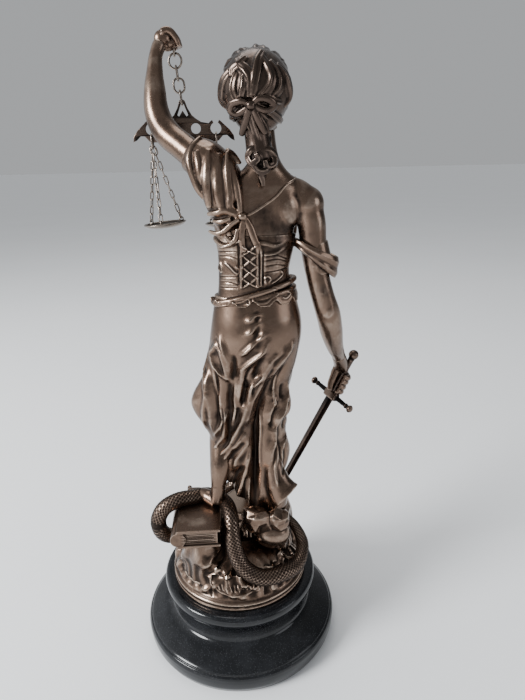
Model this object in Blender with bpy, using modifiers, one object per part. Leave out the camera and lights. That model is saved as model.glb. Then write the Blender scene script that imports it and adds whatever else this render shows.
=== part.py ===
"""Lady justice statue: a cast bronze-finish figure on a turned stone plinth, with a hung balance and a sword."""

import math

import bmesh
import bpy
import numpy as np
from mathutils import Euler, Matrix, Vector, noise

# Driving dimensions, in metres.
FIGURE_HEIGHT = 0.337
SEAT_GAP = 0.0003
MOUND_RADIUS = 0.048
PLINTH_HEIGHT = 0.0473
CAP_LEDGE = 0.0067
CAP_THICKNESS = 0.0125
NECK_INSET = 0.0052
FOOT_SPREAD = 0.0143
FOOT_THICKNESS = 0.015
FOOT_SLOPE_RISE = 0.0067
RIM_STEP = 0.0020
PLINTH_STEPS = 32

HANG_WIRE = 0.00065
HANG_RING_RADIUS = 0.0042
HANG_LINK_RADIUS = 0.0042
HANG_LINK_WIDTH = 0.0024
LINK_SLACK = 0.0003
EYE_RADIUS = 0.0018
EYE_LIFT = 0.0018
EYE_DEPTH = 0.0035
EYE_CLEARANCE = 0.0003

BEAM_HALF_SPAN = 0.0320
BEAM_THICKNESS = 0.0016
BEAM_RISE = 0.0246
BEAM_EYE_STRIP = 0.0022
BEAM_CROWN_RADIUS = 0.0012
BEAM_HOLE_HEIGHT = 0.0078
BEAM_HOLE_OFFSET = 0.0077
BEAM_HOLE_RADIUS = 0.0031
END_HOLE_OFFSET = 0.0203
END_HOLE_RADIUS = 0.0034
END_HOLE_WALL = 0.0019
GATHER_HALF_WIDTH = 0.0031
GATHER_DROP = 0.0034
PAN_RADIUS = 0.0141
PAN_DEPTH = 0.0034
PAN_WALL = 0.0010
PAN_STEPS = 24
PAN_EYE_RADIUS = 0.0013
PAN_EYE_SINK = 0.0004
CHAIN_DROP = 0.0460
CHAIN_LINKS = 10
CHAIN_WIRE = 0.00040
CHAIN_HALF_WIDTH = 0.00105
CHAIN_SPACING = 0.0012
CHAIN_BITE = 0.00008
CHAIN_LEAN = math.radians(5.0)

GRIP_RADIUS = 0.0023
GRIP_LENGTH = 0.0310
GRIP_CLEARANCE = 0.0003
POMMEL_RADIUS = 0.0036
GUARD_DIRECTION = (-0.49, 0.81, -0.32)
GUARD_SPAN = 0.0430
GUARD_RADIUS = 0.0019
BLADE_LENGTH = 0.0960
BLADE_WIDTH = 0.0070
BLADE_THICKNESS = 0.0024

TORUS_TUBE = 0.1
LINK_CORNERS = 6

# The pose is drawn in units of a 337th of the figure's height, with the seat at 47.6.
DRAWN_HEIGHT = 337.0
DRAWN_SEAT = 47.6
UNIT = FIGURE_HEIGHT / DRAWN_HEIGHT
SEAT = PLINTH_HEIGHT + SEAT_GAP
CLAY_VOXEL = 0.95 * UNIT
BODY_EASING = 4
CLOTH_EASING = 1
CLOSE_TRIANGLES = 3000
BODY_TRIANGLES = 2400
HEAD_MIDDLE = (-19.8, 0.0, 362.0)
HEAD_REACH = 27.0
DRESS_LOW = 240
DRESS_HIGH = 342
DRESS_RIGHT = -44
DRESS_LEFT = 21.5

BACK = 1
FRONT = -1


def at(x, y, z):
    """A point of the drawn pose, in the statue's own frame."""
    return Vector((x * UNIT, y * UNIT, (z - DRAWN_SEAT) * UNIT + SEAT))


def clear_scene():
    for obj in list(bpy.data.objects):
        bpy.data.objects.remove(obj, do_unlink=True)


def make_collection(name):
    collection = bpy.data.collections.new(name)
    bpy.context.scene.collection.children.link(collection)
    return collection


def make_material(name, colour, roughness, metallic):
    material = bpy.data.materials.new(name)
    material.use_nodes = True
    shader = material.node_tree.nodes["Principled BSDF"]
    shader.inputs["Base Color"].default_value = (*colour, 1.0)
    shader.inputs["Roughness"].default_value = roughness
    shader.inputs["Metallic"].default_value = metallic
    return material


def add_object(name, data, collection, material=None):
    obj = bpy.data.objects.new(name, data)
    collection.objects.link(obj)
    if material:
        data.materials.clear()
        data.materials.append(material)
    return obj


def evaluated_mesh(obj):
    """A new mesh of the object with its modifiers applied, in world space."""
    bpy.context.view_layer.update()
    graph = bpy.context.evaluated_depsgraph_get()
    mesh = bpy.data.meshes.new_from_object(obj.evaluated_get(graph))
    mesh.transform(obj.matrix_world)
    return mesh


def take_mesh(obj):
    """The object's evaluated mesh; the object itself is removed."""
    mesh = evaluated_mesh(obj)
    bpy.data.objects.remove(obj, do_unlink=True)
    return mesh


def smooth_shaded(mesh, angle=math.radians(40)):
    mesh.shade_smooth()
    mesh.set_sharp_from_angle(angle=angle)
    return mesh


def curve_mesh(points, radii, resolution, sides, cyclic=False, curve_type="BEZIER"):
    """A round bar through the points, with a radius at each, as a closed mesh."""
    curve = bpy.data.curves.new("bar", "CURVE")
    curve.dimensions = "3D"
    curve.resolution_u = resolution
    curve.bevel_depth = 1.0
    curve.bevel_resolution = max(0, sides // 2 - 2)
    curve.use_fill_caps = not cyclic
    spline = curve.splines.new(curve_type)
    if curve_type == "BEZIER":
        spline.bezier_points.add(len(points) - 1)
        for knot, point, radius in zip(spline.bezier_points, points, radii):
            knot.co = point
            knot.radius = radius
            knot.handle_left_type = "AUTO"
            knot.handle_right_type = "AUTO"
    else:
        spline.points.add(len(points) - 1)
        for knot, point, radius in zip(spline.points, points, radii):
            knot.co = (*point, 1.0)
            knot.radius = radius
    spline.use_cyclic_u = cyclic
    holder = bpy.data.objects.new("bar", curve)
    bpy.context.scene.collection.objects.link(holder)
    mesh = take_mesh(holder)
    bpy.data.curves.remove(curve)
    return mesh


# Clay forms: each adds one closed shape to a shared lump, which is remeshed as one casting.


def ball(clay, centre, radii, turn=(0, 0, 0)):
    """An ellipsoid at a drawn point; its radii are in drawn units and its turn in degrees."""
    rotation = Euler([math.radians(angle) for angle in turn])
    matrix = Matrix.LocRotScale(at(*centre), rotation, Vector(radii) * UNIT)
    bmesh.ops.create_icosphere(clay, subdivisions=3, radius=1.0, matrix=matrix)


def rod(clay, *knots, sides=10, resolution=5):
    """A tapering round limb through (x, y, z, radius) knots in drawn units."""
    points = [at(*knot[:3]) for knot in knots]
    radii = [knot[3] * UNIT for knot in knots]
    mesh = curve_mesh(points, radii, resolution, sides)
    clay.from_mesh(mesh)
    bpy.data.meshes.remove(mesh)


def block(clay, centre, size, turn=(0, 0, 0)):
    """A box at a drawn point, turned by degrees."""
    rotation = Euler([math.radians(angle) for angle in turn])
    matrix = Matrix.LocRotScale(at(*centre), rotation, Vector(size) * UNIT)
    bmesh.ops.create_cube(clay, size=1.0, matrix=matrix)


def skin_rings(clay, rings):
    """A closed loft over rings of points, all with the same count."""
    rows = [[clay.verts.new(point) for point in ring] for ring in rings]
    count = len(rows[0])
    for low, high in zip(rows[:-1], rows[1:]):
        for i in range(count):
            j = (i + 1) % count
            clay.faces.new((low[i], low[j], high[j], high[i]))
    clay.faces.new(list(reversed(rows[0])))
    clay.faces.new(rows[-1])


def loft(clay, *sections, count=32):
    """Ovals stacked upwards: each section is (z, centre x, centre y, half x, half y) in drawn units."""
    rings = []
    for z, cx, cy, half_x, half_y in sections:
        ring = []
        for step in range(count):
            angle = 2 * math.pi * step / count
            ring.append(at(cx + half_x * math.cos(angle), cy + half_y * math.sin(angle), z))
        rings.append(ring)
    skin_rings(clay, rings)


def smooth_path(knots, per_span=6):
    """Rows that run smoothly through the knots, carrying every column along."""
    table = np.array(knots, float)
    padded = np.vstack([2 * table[0] - table[1], table, 2 * table[-1] - table[-2]])
    rows = []
    for i in range(len(table) - 1):
        a, b, c, d = padded[i:i + 4]
        for step in range(per_span):
            t = step / per_span
            bend = (2 * a - 5 * b + 4 * c - d) * t * t + (3 * b - a - 3 * c + d) * t ** 3
            rows.append(b + 0.5 * ((c - a) * t + bend))
    rows.append(table[-1])
    return np.array(rows)


def band(clay, hub, wide, thin, *knots, flutes=0, depth=0.0, sides=14, per_span=5):
    """A strip of hair or cloth laid round the hub through (x, y, z) knots, narrowing at its ends."""
    places = smooth_path(knots, per_span)
    tangents = np.gradient(places, axis=0)
    rings = []
    for order, (place, tangent) in enumerate(zip(places, tangents)):
        share = order / (len(places) - 1)
        swell = 0.45 + 0.55 * math.sin(math.pi * (0.08 + 0.84 * share)) ** 0.6
        along = tangent / np.linalg.norm(tangent)
        out = place - np.array(hub)
        out -= along * out.dot(along)
        out /= np.linalg.norm(out)
        side = np.cross(along, out)
        ring = []
        for step in range(sides):
            angle = 2 * math.pi * step / sides
            reach = swell * (1 + depth * math.cos(flutes * angle))
            spoke = side * (wide * reach * math.cos(angle)) + out * (thin * (reach * math.sin(angle) - 0.5))
            ring.append(at(*(place + spoke)))
        rings.append(ring)
    skin_rings(clay, rings)


def hoop(clay, sections):
    """A closed ring through sections that all have the same count of points."""
    rows = [[clay.verts.new(point) for point in section] for section in sections]
    count = len(rows[0])
    for here, there in zip(rows, rows[1:] + rows[:1]):
        for i in range(count):
            j = (i + 1) % count
            clay.faces.new((here[i], here[j], there[j], there[i]))


# The body and the parts of its dress.


def torso(clay):
    loft(
        clay,
        (238, -16, 2, 25, 15),
        (250, -16, 1.5, 22, 13.2),
        (258, -15.8, 1, 20.8, 12.4),
        (266, -15.8, 0.5, 20.6, 12.2),
        (276, -17, 0, 21.8, 12.8),
        (286, -17, -0.5, 23.4, 13.6),
        (296, -16.5, -0.5, 24.6, 13.4),
        (305, -18, 0, 27.5, 12.6),
        (312, -20, 0.5, 26.5, 11.4),
        (318, -21.5, 0.5, 19.5, 10.2),
        (323, -23, 1, 12.6, 9.4),
        (330, -23.4, 0.5, 8.2, 8.2),
        (340, -22.6, 0.0, 7.3, 7.8),
        (352, -21.8, -1, 7.4, 8.2),
    )
    ball(clay, (-7.5, -10.5, 292.5), (9.6, 8.6, 9.6))
    ball(clay, (-26.5, -10.5, 291.5), (9.6, 8.6, 9.6))
    ball(clay, (-35, 3.4, 301), (11, 9.0, 14), (0, 12, 0))
    ball(clay, (-6, 3.4, 303), (11, 9.0, 14), (0, -12, 0))


def bodice(clay):
    """The gathered cloth across the chest, from under the right arm up to the raised shoulder."""
    for order in range(6):
        t = order / 5.0
        rod(clay, (-41.5, -4 + 2 * t, 287 + 7 * t, 2.0), (-33, -15.2 + 2.5 * t, 285.5 + 9.5 * t, 2.6),
            (-25.5, -17.4 + 4.0 * t, 286.0 + 11.5 * t, 2.6), (-16.5, -13.6 + 0.5 * t, 287 + 13.5 * t, 2.4),
            (-7.5, -17.4 + 3.2 * t, 288 + 17.0 * t, 2.7), (2.0, -13.2 - 0.4 * t, 292 + 22.0 * t, 2.5),
            (8.5 + 2.0 * t, -7.6 - 3.0 * t, 302 + 26.0 * t, 2.2))


def right_arm(clay):
    ball(clay, (-48.5, 0, 303), (10, 9.6, 10.5))
    rod(clay, (-34, 0, 313, 7), (-44, 0, 308, 8.6), (-50, 0.5, 296, 8.8), (-52, 1, 280, 8.2), (-54.5, 2, 262, 7.3),
        (-58, 2.5, 248, 7.4), (-62, 1, 236, 7.9), (-65.5, -5, 223, 7.6), (-70, -14, 209, 6.0),
        (-75, -24, 198, 4.7), (-78, -31, 190, 4.8))
    ball(clay, (-61, 6, 238.5), (4.6, 4.4, 5.4))


SWORD_GUARD = (-72.5, -33, 164.7)
SWORD_POMMEL = (-88.2, -33, 195.4)


def sword_axis():
    guard = at(*SWORD_GUARD)
    return guard, (at(*SWORD_POMMEL) - guard).normalized()


def grip_point(along, angle, radius):
    """A point round the grip in drawn units: angle 0 is the outer side and 90 the side seen from behind."""
    guard = Vector(SWORD_GUARD)
    axis = (Vector(SWORD_POMMEL) - guard).normalized()
    back = Vector((0, 1, 0))
    outer = axis.cross(back).normalized()
    if outer.x > 0:
        outer = -outer
    turn = math.radians(angle)
    return guard + axis * along + (outer * math.cos(turn) + back * math.sin(turn)) * radius


def right_hand(clay):
    """A fist round the grip, palm towards the back."""
    rod(clay, (-75, -24, 198, 4.8), (-78.5, -32, 189, 5.2), (-80, -37.5, 181, 5.6), (-78, -38.5, 174, 5.0))
    for order, along in enumerate((5.2, 9.2, 13.2, 17.0)):
        reach = 4.9 - 0.15 * order
        knots = []
        for angle, radius in ((-115, 2.6), (-60, 2.5), (-5, 2.4), (45, 2.2), (88, 1.9)):
            knots.append((*grip_point(along + 0.5 * (angle < -50), angle, reach), radius))
        rod(clay, *knots)
    thumb = [grip_point(20, 190, 5.6), grip_point(13, 175, 5.4), grip_point(7, 160, 5.2), grip_point(3.4, 140, 5.0)]
    rod(clay, *[(*point, radius) for point, radius in zip(thumb, (3.4, 2.9, 2.5, 1.9))])
    ball(clay, (-78, -37, 176), (4.8, 3.6, 8.5), (0, 27, 0))


def left_arm(clay):
    rod(clay, (-6, 1, 312, 9), (3, -1, 319, 9.6), (12, -6, 327, 8.6), (23, -14, 336, 8.2), (33, -21, 345, 8.2),
        (37.8, -25, 355, 7.6), (38.6, -28.5, 368, 6.6), (38.2, -32.5, 379, 5.0), (37.2, -36, 388, 4.1),
        (34.5, -39, 395, 4.4))


HANG_POINT = (27.0, -43.7, 388.6)


def left_hand(clay):
    """A hand bent over at the wrist, its closed fingers holding the eye of the hanging chain."""
    ball(clay, (33.2, -40.3, 397.2), (5.0, 3.4, 5.0), (0, -40, 0))
    for order, (dy, reach) in enumerate(((2.6, 0.0), (0.2, 0.4), (-2.2, 0.3), (-4.2, -0.8))):
        y = -41 + dy
        rod(clay, (33.5, y, 400.2, 2.3), (29.6 - 0.5 * reach, y - 0.3, 401.2 - 0.3 * order, 2.3),
            (25.4 - reach, y - 0.6, 397.6, 2.0), (23.4 - reach, y - 1.0, 392.8, 1.6))
    rod(clay, (34.5, -39, 393.5, 2.6), (30.6, -41.5, 393.0, 2.4), (27.2, -43.2, 393.4, 1.9), (25.2, -43.6, 392.6, 1.5))
    ball(clay, (28.6, -42, 394.8), (4.0, 3.4, 3.0))


def head(clay):
    """A calm, even face under a plain blindfold."""
    ball(clay, (-19.6, -3.5, 365), (14.2, 16.4, 17.6))
    ball(clay, (-19.8, -7.6, 358.0), (12.4, 12.0, 12.5))
    ball(clay, (-19.8, -10.4, 351.4), (8.8, 9.0, 7.4))
    ball(clay, (-19.8, -16.4, 347.2), (3.5, 3.5, 3.0))
    ball(clay, (-13.8, -13.8, 357.0), (4.2, 4.4, 4.2))
    ball(clay, (-25.8, -13.8, 357.0), (4.2, 4.4, 4.2))
    rod(clay, (-19.8, -19.6, 367.0, 1.5), (-19.8, -20.8, 362.0, 1.4), (-19.8, -22.3, 358.4, 1.9),
        (-19.8, -21.6, 357.2, 1.7))
    ball(clay, (-17.7, -20.2, 357.5), (1.5, 1.9, 1.3))
    ball(clay, (-21.9, -20.2, 357.5), (1.5, 1.9, 1.3))
    rod(clay, (-24.6, -16.9, 352.4, 0.6), (-21.8, -19.2, 353.3, 1.25), (-19.8, -19.9, 353.0, 1.05),
        (-17.8, -19.2, 353.3, 1.25), (-15.0, -16.9, 352.4, 0.6))
    rod(clay, (-23.8, -17.0, 351.7, 0.7), (-19.8, -19.3, 350.5, 1.45), (-15.8, -17.0, 351.7, 0.7))
    loft(clay, (359.4, -19.6, -3.4, 15.4, 17.5), (360.4, -19.6, -3.4, 16.2, 18.6), (364.6, -19.6, -3.4, 16.4, 18.9),
         (369.4, -19.6, -3.4, 16.2, 18.4), (370.4, -19.6, -3.4, 15.4, 17.4))


HAIR_CENTRE = (-19.4, 3.8, 363.8)
HAIR_RADII = (17.2, 16.8, 18.2)


CAP_CENTRE = (-19.5, -0.6, 364.6)

CAP_RADII = (16.6, 18.0, 18.2)

# Locks at the back of the head: half width, half thickness, then points along each.
BACK_LOCKS = (
    (3.0, 2.2, (-8.7, 13.6, 377.4), (-10.5, 18.2, 373.4), (-13.3, 20.9, 370.3), (-15.2, 22.2, 366), (-14.4, 21.4, 358)),
    (2.5, 2.2, (-13.7, 16.7, 377.8), (-9.5, 17.2, 374.1), (-6.4, 15.8, 372), (-5.7, 16.7, 368.7)),
    (2.9, 2.2, (-22.2, 14.1, 380.9), (-19.7, 18.8, 376.4), (-18.4, 21.4, 371.5), (-17.2, 22.6, 365.9), (-16, 22, 359)),
    (3.4, 3.0, (-4.9, 14.2, 371.8), (-1.6, 10.9, 367.7), (-0.3, 7.8, 362.4), (-0.6, 5.0, 358), (-4.6, 9.6, 353.7)),
    (2.4, 2.2, (-8.3, 18.3, 370.3), (-6.7, 18, 366.6), (-6, 17.6, 362.1), (-7.4, 17.9, 358.3), (-10.9, 19.2, 355.6)),
    (2.0, 1.8, (-11.8, 20.6, 369), (-11.6, 21.2, 364.3), (-10.5, 20.3, 359.8), (-10.4, 19.0, 356.3)),
    (2.8, 2.2, (-21.8, 17.8, 377.5), (-24.6, 20.2, 372.5), (-26.5, 21.1, 367.8), (-25.4, 21.9, 363.2),
     (-21.2, 22.1, 358.6), (-17, 21.4, 356.4)),
    (2.8, 2.2, (-25.9, 18.1, 375.6), (-29.9, 18.4, 371), (-31.4, 18.7, 366.3), (-30.2, 19.5, 361.6), (-24.4, 20.7, 357)),
    (3.6, 3.1, (-29.5, 17.1, 373.9), (-33.8, 15.6, 369.5), (-36.1, 13.8, 364.1), (-36.9, 11.2, 359.1), (-33.8, 11.6, 354)),
    (2.0, 1.8, (-19.1, 21.7, 356.8), (-23.2, 21.6, 357.7), (-28.6, 19.1, 356.5), (-34.4, 11.6, 356.2)),
    (2.5, 2.1, (-18.1, 20.5, 354.1), (-24.4, 18.1, 351.4), (-30.2, 10.6, 348.6), (-33.0, 4.6, 347.0)),
    (2.5, 2.1, (-17, 19.9, 353.2), (-21.3, 16.5, 348.6), (-26.2, 8.8, 345.5), (-29.4, 3.8, 343.8)),
    (2.4, 2.0, (-12.0, 19.0, 353.0), (-8.4, 14.6, 350.2), (-5.6, 8.6, 349.0), (-5.0, 3.0, 351.6)),
)

NAPE_LOCKS = (
    (2.5, 2.0, (-13.4, 18.4, 351.8), (-12.6, 16.2, 346.0), (-14.2, 14.6, 340.4), (-15.8, 15.6, 334.8)),
    (2.6, 2.0, (-15.8, 19.2, 351.6), (-17.6, 18.0, 346.0), (-19.8, 17.4, 339.6), (-21.4, 17.6, 334.2)),
    (2.4, 2.0, (-18.4, 18.9, 351.4), (-22.6, 15.6, 346.0), (-25.0, 13.4, 340.4), (-23.8, 15.4, 335.2)),
    (2.2, 1.9, (-18.6, 17.6, 335.4), (-14.6, 17.4, 333.0), (-12.9, 16.0, 329.5), (-15.0, 17.6, 325.8), (-18.8, 19.4, 328.0),
     (-17.6, 20.0, 331.2)),
    (2.2, 1.9, (-21.4, 18.2, 333.6), (-25.5, 17.2, 332.8), (-28.6, 15.2, 329.6), (-28.0, 16.4, 325.1),
     (-24.2, 18.6, 323.8), (-22.4, 19.8, 327.7)),
    (2.2, 1.8, (-15.5, 18.2, 325.2), (-18.7, 18.8, 321.6), (-23.1, 18.4, 321.5), (-26.0, 16.8, 324.4)),
    (1.9, 1.6, (-17.8, 17.6, 322.7), (-20.3, 17.8, 318.5), (-21.3, 16.0, 313.9)),
)

TAIL_HUB = (-20.0, 9.0, 331.0)


def hair_point(direction, lift):
    """A point over the skull in a direction, lifted by a share of the skull's radius."""
    unit = Vector(direction).normalized()
    return tuple(CAP_CENTRE[i] + CAP_RADII[i] * unit[i] * (1.0 + lift) for i in range(3))


def combed(clay, start, end, wide, thin, sway, flutes, depth, lift=0.06, steps=6):
    """A lock combed over the skull from one direction to another, waving on its way."""
    first = Vector(start).normalized()
    last = Vector(end).normalized()
    side = first.cross(last).normalized()
    knots = []
    for step in range(steps + 1):
        t = step / steps
        along = first.slerp(last, t) + side * (sway * math.sin(2.4 * math.pi * t) * math.sin(math.pi * t))
        knots.append(hair_point(along, lift + 0.07 * math.sin(math.pi * t)))
    band(clay, CAP_CENTRE, wide, thin, *knots, flutes=flutes, depth=depth)


def hair(clay, flutes=0, depth=0.0):
    """Hair swept from the brow and temples to a knot, with rolled sides and a short curled tail."""
    ball(clay, HAIR_CENTRE, HAIR_RADII)
    ball(clay, (-19.6, 6.0, 352.0), (13.0, 10.4, 11.0))
    for order in range(9):
        turn = math.radians(-80 + 20 * order)
        start = (0.97 * math.sin(turn), -0.9 * math.cos(turn), 0.46 + 0.30 * math.cos(turn))
        end = (0.6 * math.sin(turn), 0.66, 0.74)
        combed(clay, start, end, 3.4 - 0.5 * (order % 2), 2.3, 0.08 if order % 2 else -0.06, flutes, depth)
    for side in (-1, 1):
        for rise, drop in ((0.42, 0.42), (0.10, 0.14), (-0.22, -0.12), (-0.52, -0.34), (-0.80, -0.50)):
            combed(clay, (side * 0.97, -0.34 + 0.2 * abs(rise), rise), (side * 0.5, 0.8, drop), 2.7, 2.0, 0.06, flutes,
                   depth)
    for wide, thin, *knots in BACK_LOCKS:
        band(clay, HAIR_CENTRE, wide, thin, *knots, flutes=flutes, depth=depth)
    rod(clay, (-17, 12.2, 351, 5.6), (-18.4, 11.4, 342, 5.4), (-20, 11.8, 332, 6.6), (-20.4, 13.0, 326, 5.4),
        (-21, 14.4, 319, 2.4), (-21.3, 14.8, 314.6, 1.0))
    for wide, thin, *knots in NAPE_LOCKS:
        band(clay, TAIL_HUB, wide, thin, *knots, flutes=flutes, depth=depth)


def blindfold_bow(clay):
    """The blindfold's knot, two loops and two tails at the back of the head."""
    ball(clay, (-15.2, 22.0, 354.3), (2.5, 2.2, 2.4))
    ribbon = (((-13.9, 21.4, 354.4), (-9.9, 21.6, 356.0), (-5.0, 18.4, 355.0), (-4.2, 16.6, 351.8), (-7.7, 17.6, 349.8),
               (-13.0, 20.6, 352.6)),
              ((-16.0, 22.6, 355.0), (-20.1, 24.0, 357.2), (-25.4, 23.0, 356.2), (-27.8, 21.2, 353.6),
               (-23.4, 21.6, 351.2), (-17.6, 21.8, 353.2)),
              ((-16.0, 21.4, 352.8), (-18.1, 20.6, 348.7), (-20.4, 19.2, 344.4), (-22.4, 17.6, 340.4)),
              ((-14.4, 21.4, 352.8), (-12.7, 19.4, 347.9), (-11.2, 17.0, 343.4), (-10.0, 14.8, 340.0)))
    for knots in ribbon:
        band(clay, HAIR_CENTRE, 2.0, 1.3, *knots)


# Ridges of the drape over the raised shoulder: half width, half thickness, then points along each.
SLEEVE_RIDGES = (
    (1.9, 1.7, (13.0, -1.0, 341.4), (18.0, 2.6, 336.4), (20.3, 4.8, 330.3), (20.0, 6.0, 325.0), (18.2, 7.0, 319.0),
     (15.8, 8.2, 312.8), (12.0, 9.2, 307.6)),
    (1.7, 1.6, (15.6, 6.6, 333.4), (15.0, 9.0, 328.0), (14.4, 10.0, 322.4), (12.6, 10.8, 317.0), (11.0, 11.2, 312.6)),
    (1.9, 1.7, (8.6, 7.4, 334.0), (9.8, 11.0, 327.0), (10.6, 12.4, 319.6), (10.5, 12.8, 312.0), (9.6, 12.4, 303.0)),
    (2.0, 1.8, (2.4, 8.0, 332.0), (3.6, 12.0, 325.0), (3.5, 13.8, 318.0), (3.6, 14.6, 311.0), (1.4, 14.6, 302.0),
     (-3.4, 15.0, 298.4)),
    (1.9, 1.8, (-3.2, 8.6, 332.6), (-2.8, 13.0, 325.0), (-3.2, 14.6, 317.0), (-3.8, 15.2, 309.0), (-3.4, 15.4, 303.0),
     (-6.4, 15.8, 298.0)),
    (1.7, 1.6, (-4.0, 7.6, 333.6), (-5.4, 12.0, 325.0), (-7.4, 14.4, 316.0), (-8.6, 15.4, 307.0), (-9.0, 15.8, 299.6)),
    (1.6, 1.5, (-2.6, 4.6, 334.6), (-5.8, 7.8, 331.6), (-9.6, 10.6, 326.6)),
    (1.6, 1.5, (10.4, 8.4, 298.6), (5.0, 13.4, 299.4), (0.2, 15.0, 300.4), (-4.6, 15.8, 298.8)),
    (1.6, 1.5, (10.0, 8.2, 289.0), (5.6, 12.6, 288.0), (1.0, 14.6, 289.4), (-3.4, 15.6, 293.2), (-7.8, 16.0, 296.0)),
    (1.5, 1.4, (7.6, 10.0, 294.8), (2.6, 14.0, 294.6), (-2.8, 15.4, 296.6)),
    (1.4, 1.4, (1.4, 13.8, 287.0), (-2.6, 14.8, 283.2), (-5.4, 15.4, 285.0), (-7.0, 15.8, 291.6)),
)

SLEEVE_HUB = (3.0, 0.0, 314.0)


def left_sleeve(clay):
    """The gathered drape over the raised shoulder, tied between the shoulder blades."""
    rod(clay, (16.5, -8, 331.4, 9.4), (10, -3.4, 327.0, 11.4), (3, 0.6, 318, 12.4), (-0.5, 3.0, 306, 11.2),
        (-2.5, 4.6, 296, 9.4), (-3, 5.8, 289, 6.8))
    for wide, thin, *knots in SLEEVE_RIDGES:
        band(clay, SLEEVE_HUB, wide, thin, *knots)
    for shift in (0.0, 1.0):
        rod(clay, (19.4 - 5 * shift, -7, 337.4, 1.8), (19.5 - 4 * shift, -15.0, 329.4, 2.2),
            (12.6 - 4 * shift, -16.2, 319, 2.4), (5 - 3 * shift, -14.0, 307, 2.2))


def tied_strap(clay):
    """The thin strap across the bare back, its knot and its hanging tails."""
    rod(clay, (-41.5, -3, 318.0, 0.9), (-40.2, 5, 317.0, 0.9), (-34.4, 10.2, 313.8, 0.9), (-28.6, 12.2, 308.2, 0.9),
        (-20.8, 13.2, 303.0, 0.9), (-14.6, 14.2, 299.6, 0.95), (-10, 15.0, 297.8, 1.1))
    ball(clay, (-9.4, 15.8, 298.2), (2.7, 2.2, 2.3))
    tails = (((-9.6, 15.8, 297.0), (-8.6, 15.4, 291.4), (-8.2, 15.4, 284.6), (-9.4, 15.2, 278.0)),
             ((-11.0, 16.0, 297.4), (-13.8, 15.8, 291.6), (-16.0, 15.8, 285.0), (-19.4, 15.4, 277.0)))
    for knots in tails:
        band(clay, (-14, -4, 288), 2.3, 1.5, *knots)


def belt_height(x, lift):
    """The tilt of the belt: higher at the figure's right hip."""
    return 250.0 + lift - (0.20 + 0.025 * lift) * (x + 14)


def peplum_edge(angle):
    """The scalloped lower edge of the short skirt under the belt."""
    return 245.8 + 3.6 * abs(math.cos(6 * (angle - math.radians(27)))) ** 5


BELT_CENTRE = (-15.6, 0.9)

BELT_HALF = (24.8, 14.6)


def corset(clay):
    """The laced bodice: its hem, panel edges, twin tie belt and scalloped peplum."""
    loft(clay, (244, -16, 1.8, 23.6, 14.0), (254, -15.8, 1.4, 22.2, 13.4), (258, -15.8, 1.4, 21.8, 13.2), (266, -15.8, 1.2, 21.4, 13.2),
         (276, -17, 0.8, 22.6, 13.8), (283, -17, 0.4, 23.6, 14.2), (287, -17, 0.2, 23.4, 13.8), count=48)
    rod(clay, (-7.9, 14.0, 284.0, 0.9), (-7.8, 14.4, 272.5, 0.9), (-7.3, 14.8, 257.0, 0.9))
    rod(clay, (-17.3, 14.4, 280.6, 0.9), (-17.6, 14.3, 272.3, 0.9), (-17.2, 14.8, 257.0, 0.9))
    rod(clay, (-19.6, 14.2, 279.6, 0.7), (-19.5, 14.1, 270.0, 0.7), (-19.0, 14.7, 257.5, 0.7))
    rod(clay, (-17.2, 14.6, 283.4, 1.1), (-22.5, 14.0, 282.2, 1.4), (-27.2, 12.6, 281.0, 1.5),
        (-33, 9.4, 282.2, 1.5), (-38.8, 3.4, 285.2, 1.4), (-40.6, -2, 285.0, 1.3), (-36, -11.5, 283, 1.4),
        (-29, -16.5, 283, 1.4), (-20, -14.5, 281, 1.3), (-10, -16.5, 283, 1.4), (0, -12.5, 284, 1.4),
        (6.4, -2, 285, 1.4), (5.4, 6, 283, 1.3), (1.0, 11.4, 281.6, 1.3), (-7.6, 14.4, 284.5, 1.1))
    rod(clay, (-19.0, 14.2, 276.2, 1.0), (-25.4, 13.2, 276.2, 1.3), (-32.4, 10.0, 278.6, 1.3), (-38.4, 3.6, 282.4, 1.2))
    cx, cy = BELT_CENTRE
    for lift, size in ((2.6, 1.7), (-0.4, 1.5)):
        knots = []
        for step in range(25):
            angle = 2 * math.pi * step / 24
            x = cx + BELT_HALF[0] * math.cos(angle)
            knots.append((x, cy + BELT_HALF[1] * math.sin(angle), belt_height(x, lift), size))
        rod(clay, *knots, resolution=3)
    sections = []
    for step in range(120):
        angle = 2 * math.pi * step / 120
        low = peplum_edge(angle)
        x = cx + 26.4 * math.cos(angle)
        top = belt_height(x, 0.0)
        outer = ((27.4, 17.4, low), (25.6, 15.4, top))
        inner = ((22.6, 12.4, top), (24.4, 14.4, low + 0.4))
        sections.append([at(cx + half_x * math.cos(angle), cy + half_y * math.sin(angle), z)
                         for half_x, half_y, z in outer + inner])
    hoop(clay, sections)


def right_sleeve(clay):
    """The off-shoulder sleeve: a cloth band round the upper arm, flaring open at its outer side."""
    sections = []
    for step in range(48):
        angle = 2 * math.pi * step / 48
        cosine, sine = math.cos(angle), math.sin(angle)
        wave = 0.5 * math.sin(5 * angle + 0.6)
        profile = ((14.0, 10.4, 278.2 + 6.2 * cosine), (14.6, 11.6 + wave, 275.4 + 7.2 * cosine),
                   (13.6, 10.6, 272.8 + 8.2 * cosine), (13.8, 11.2 - wave, 270.6 + 9.0 * cosine),
                   (12.2, 9.8, 268.4 + 9.8 * cosine), (10.6, 8.2, 268.8 + 9.6 * cosine),
                   (11.6, 8.8, 274.0 + 7.6 * cosine), (12.6, 9.0, 277.8 + 6.2 * cosine))
        sections.append([at(-53.4 + half_x * cosine, 1.4 + half_y * sine, z) for half_x, half_y, z in profile])
    hoop(clay, sections)
    rod(clay, (-53, 1, 281, 7.8), (-55, 1, 268, 9.0), (-56, 1, 262, 8.0))


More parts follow.
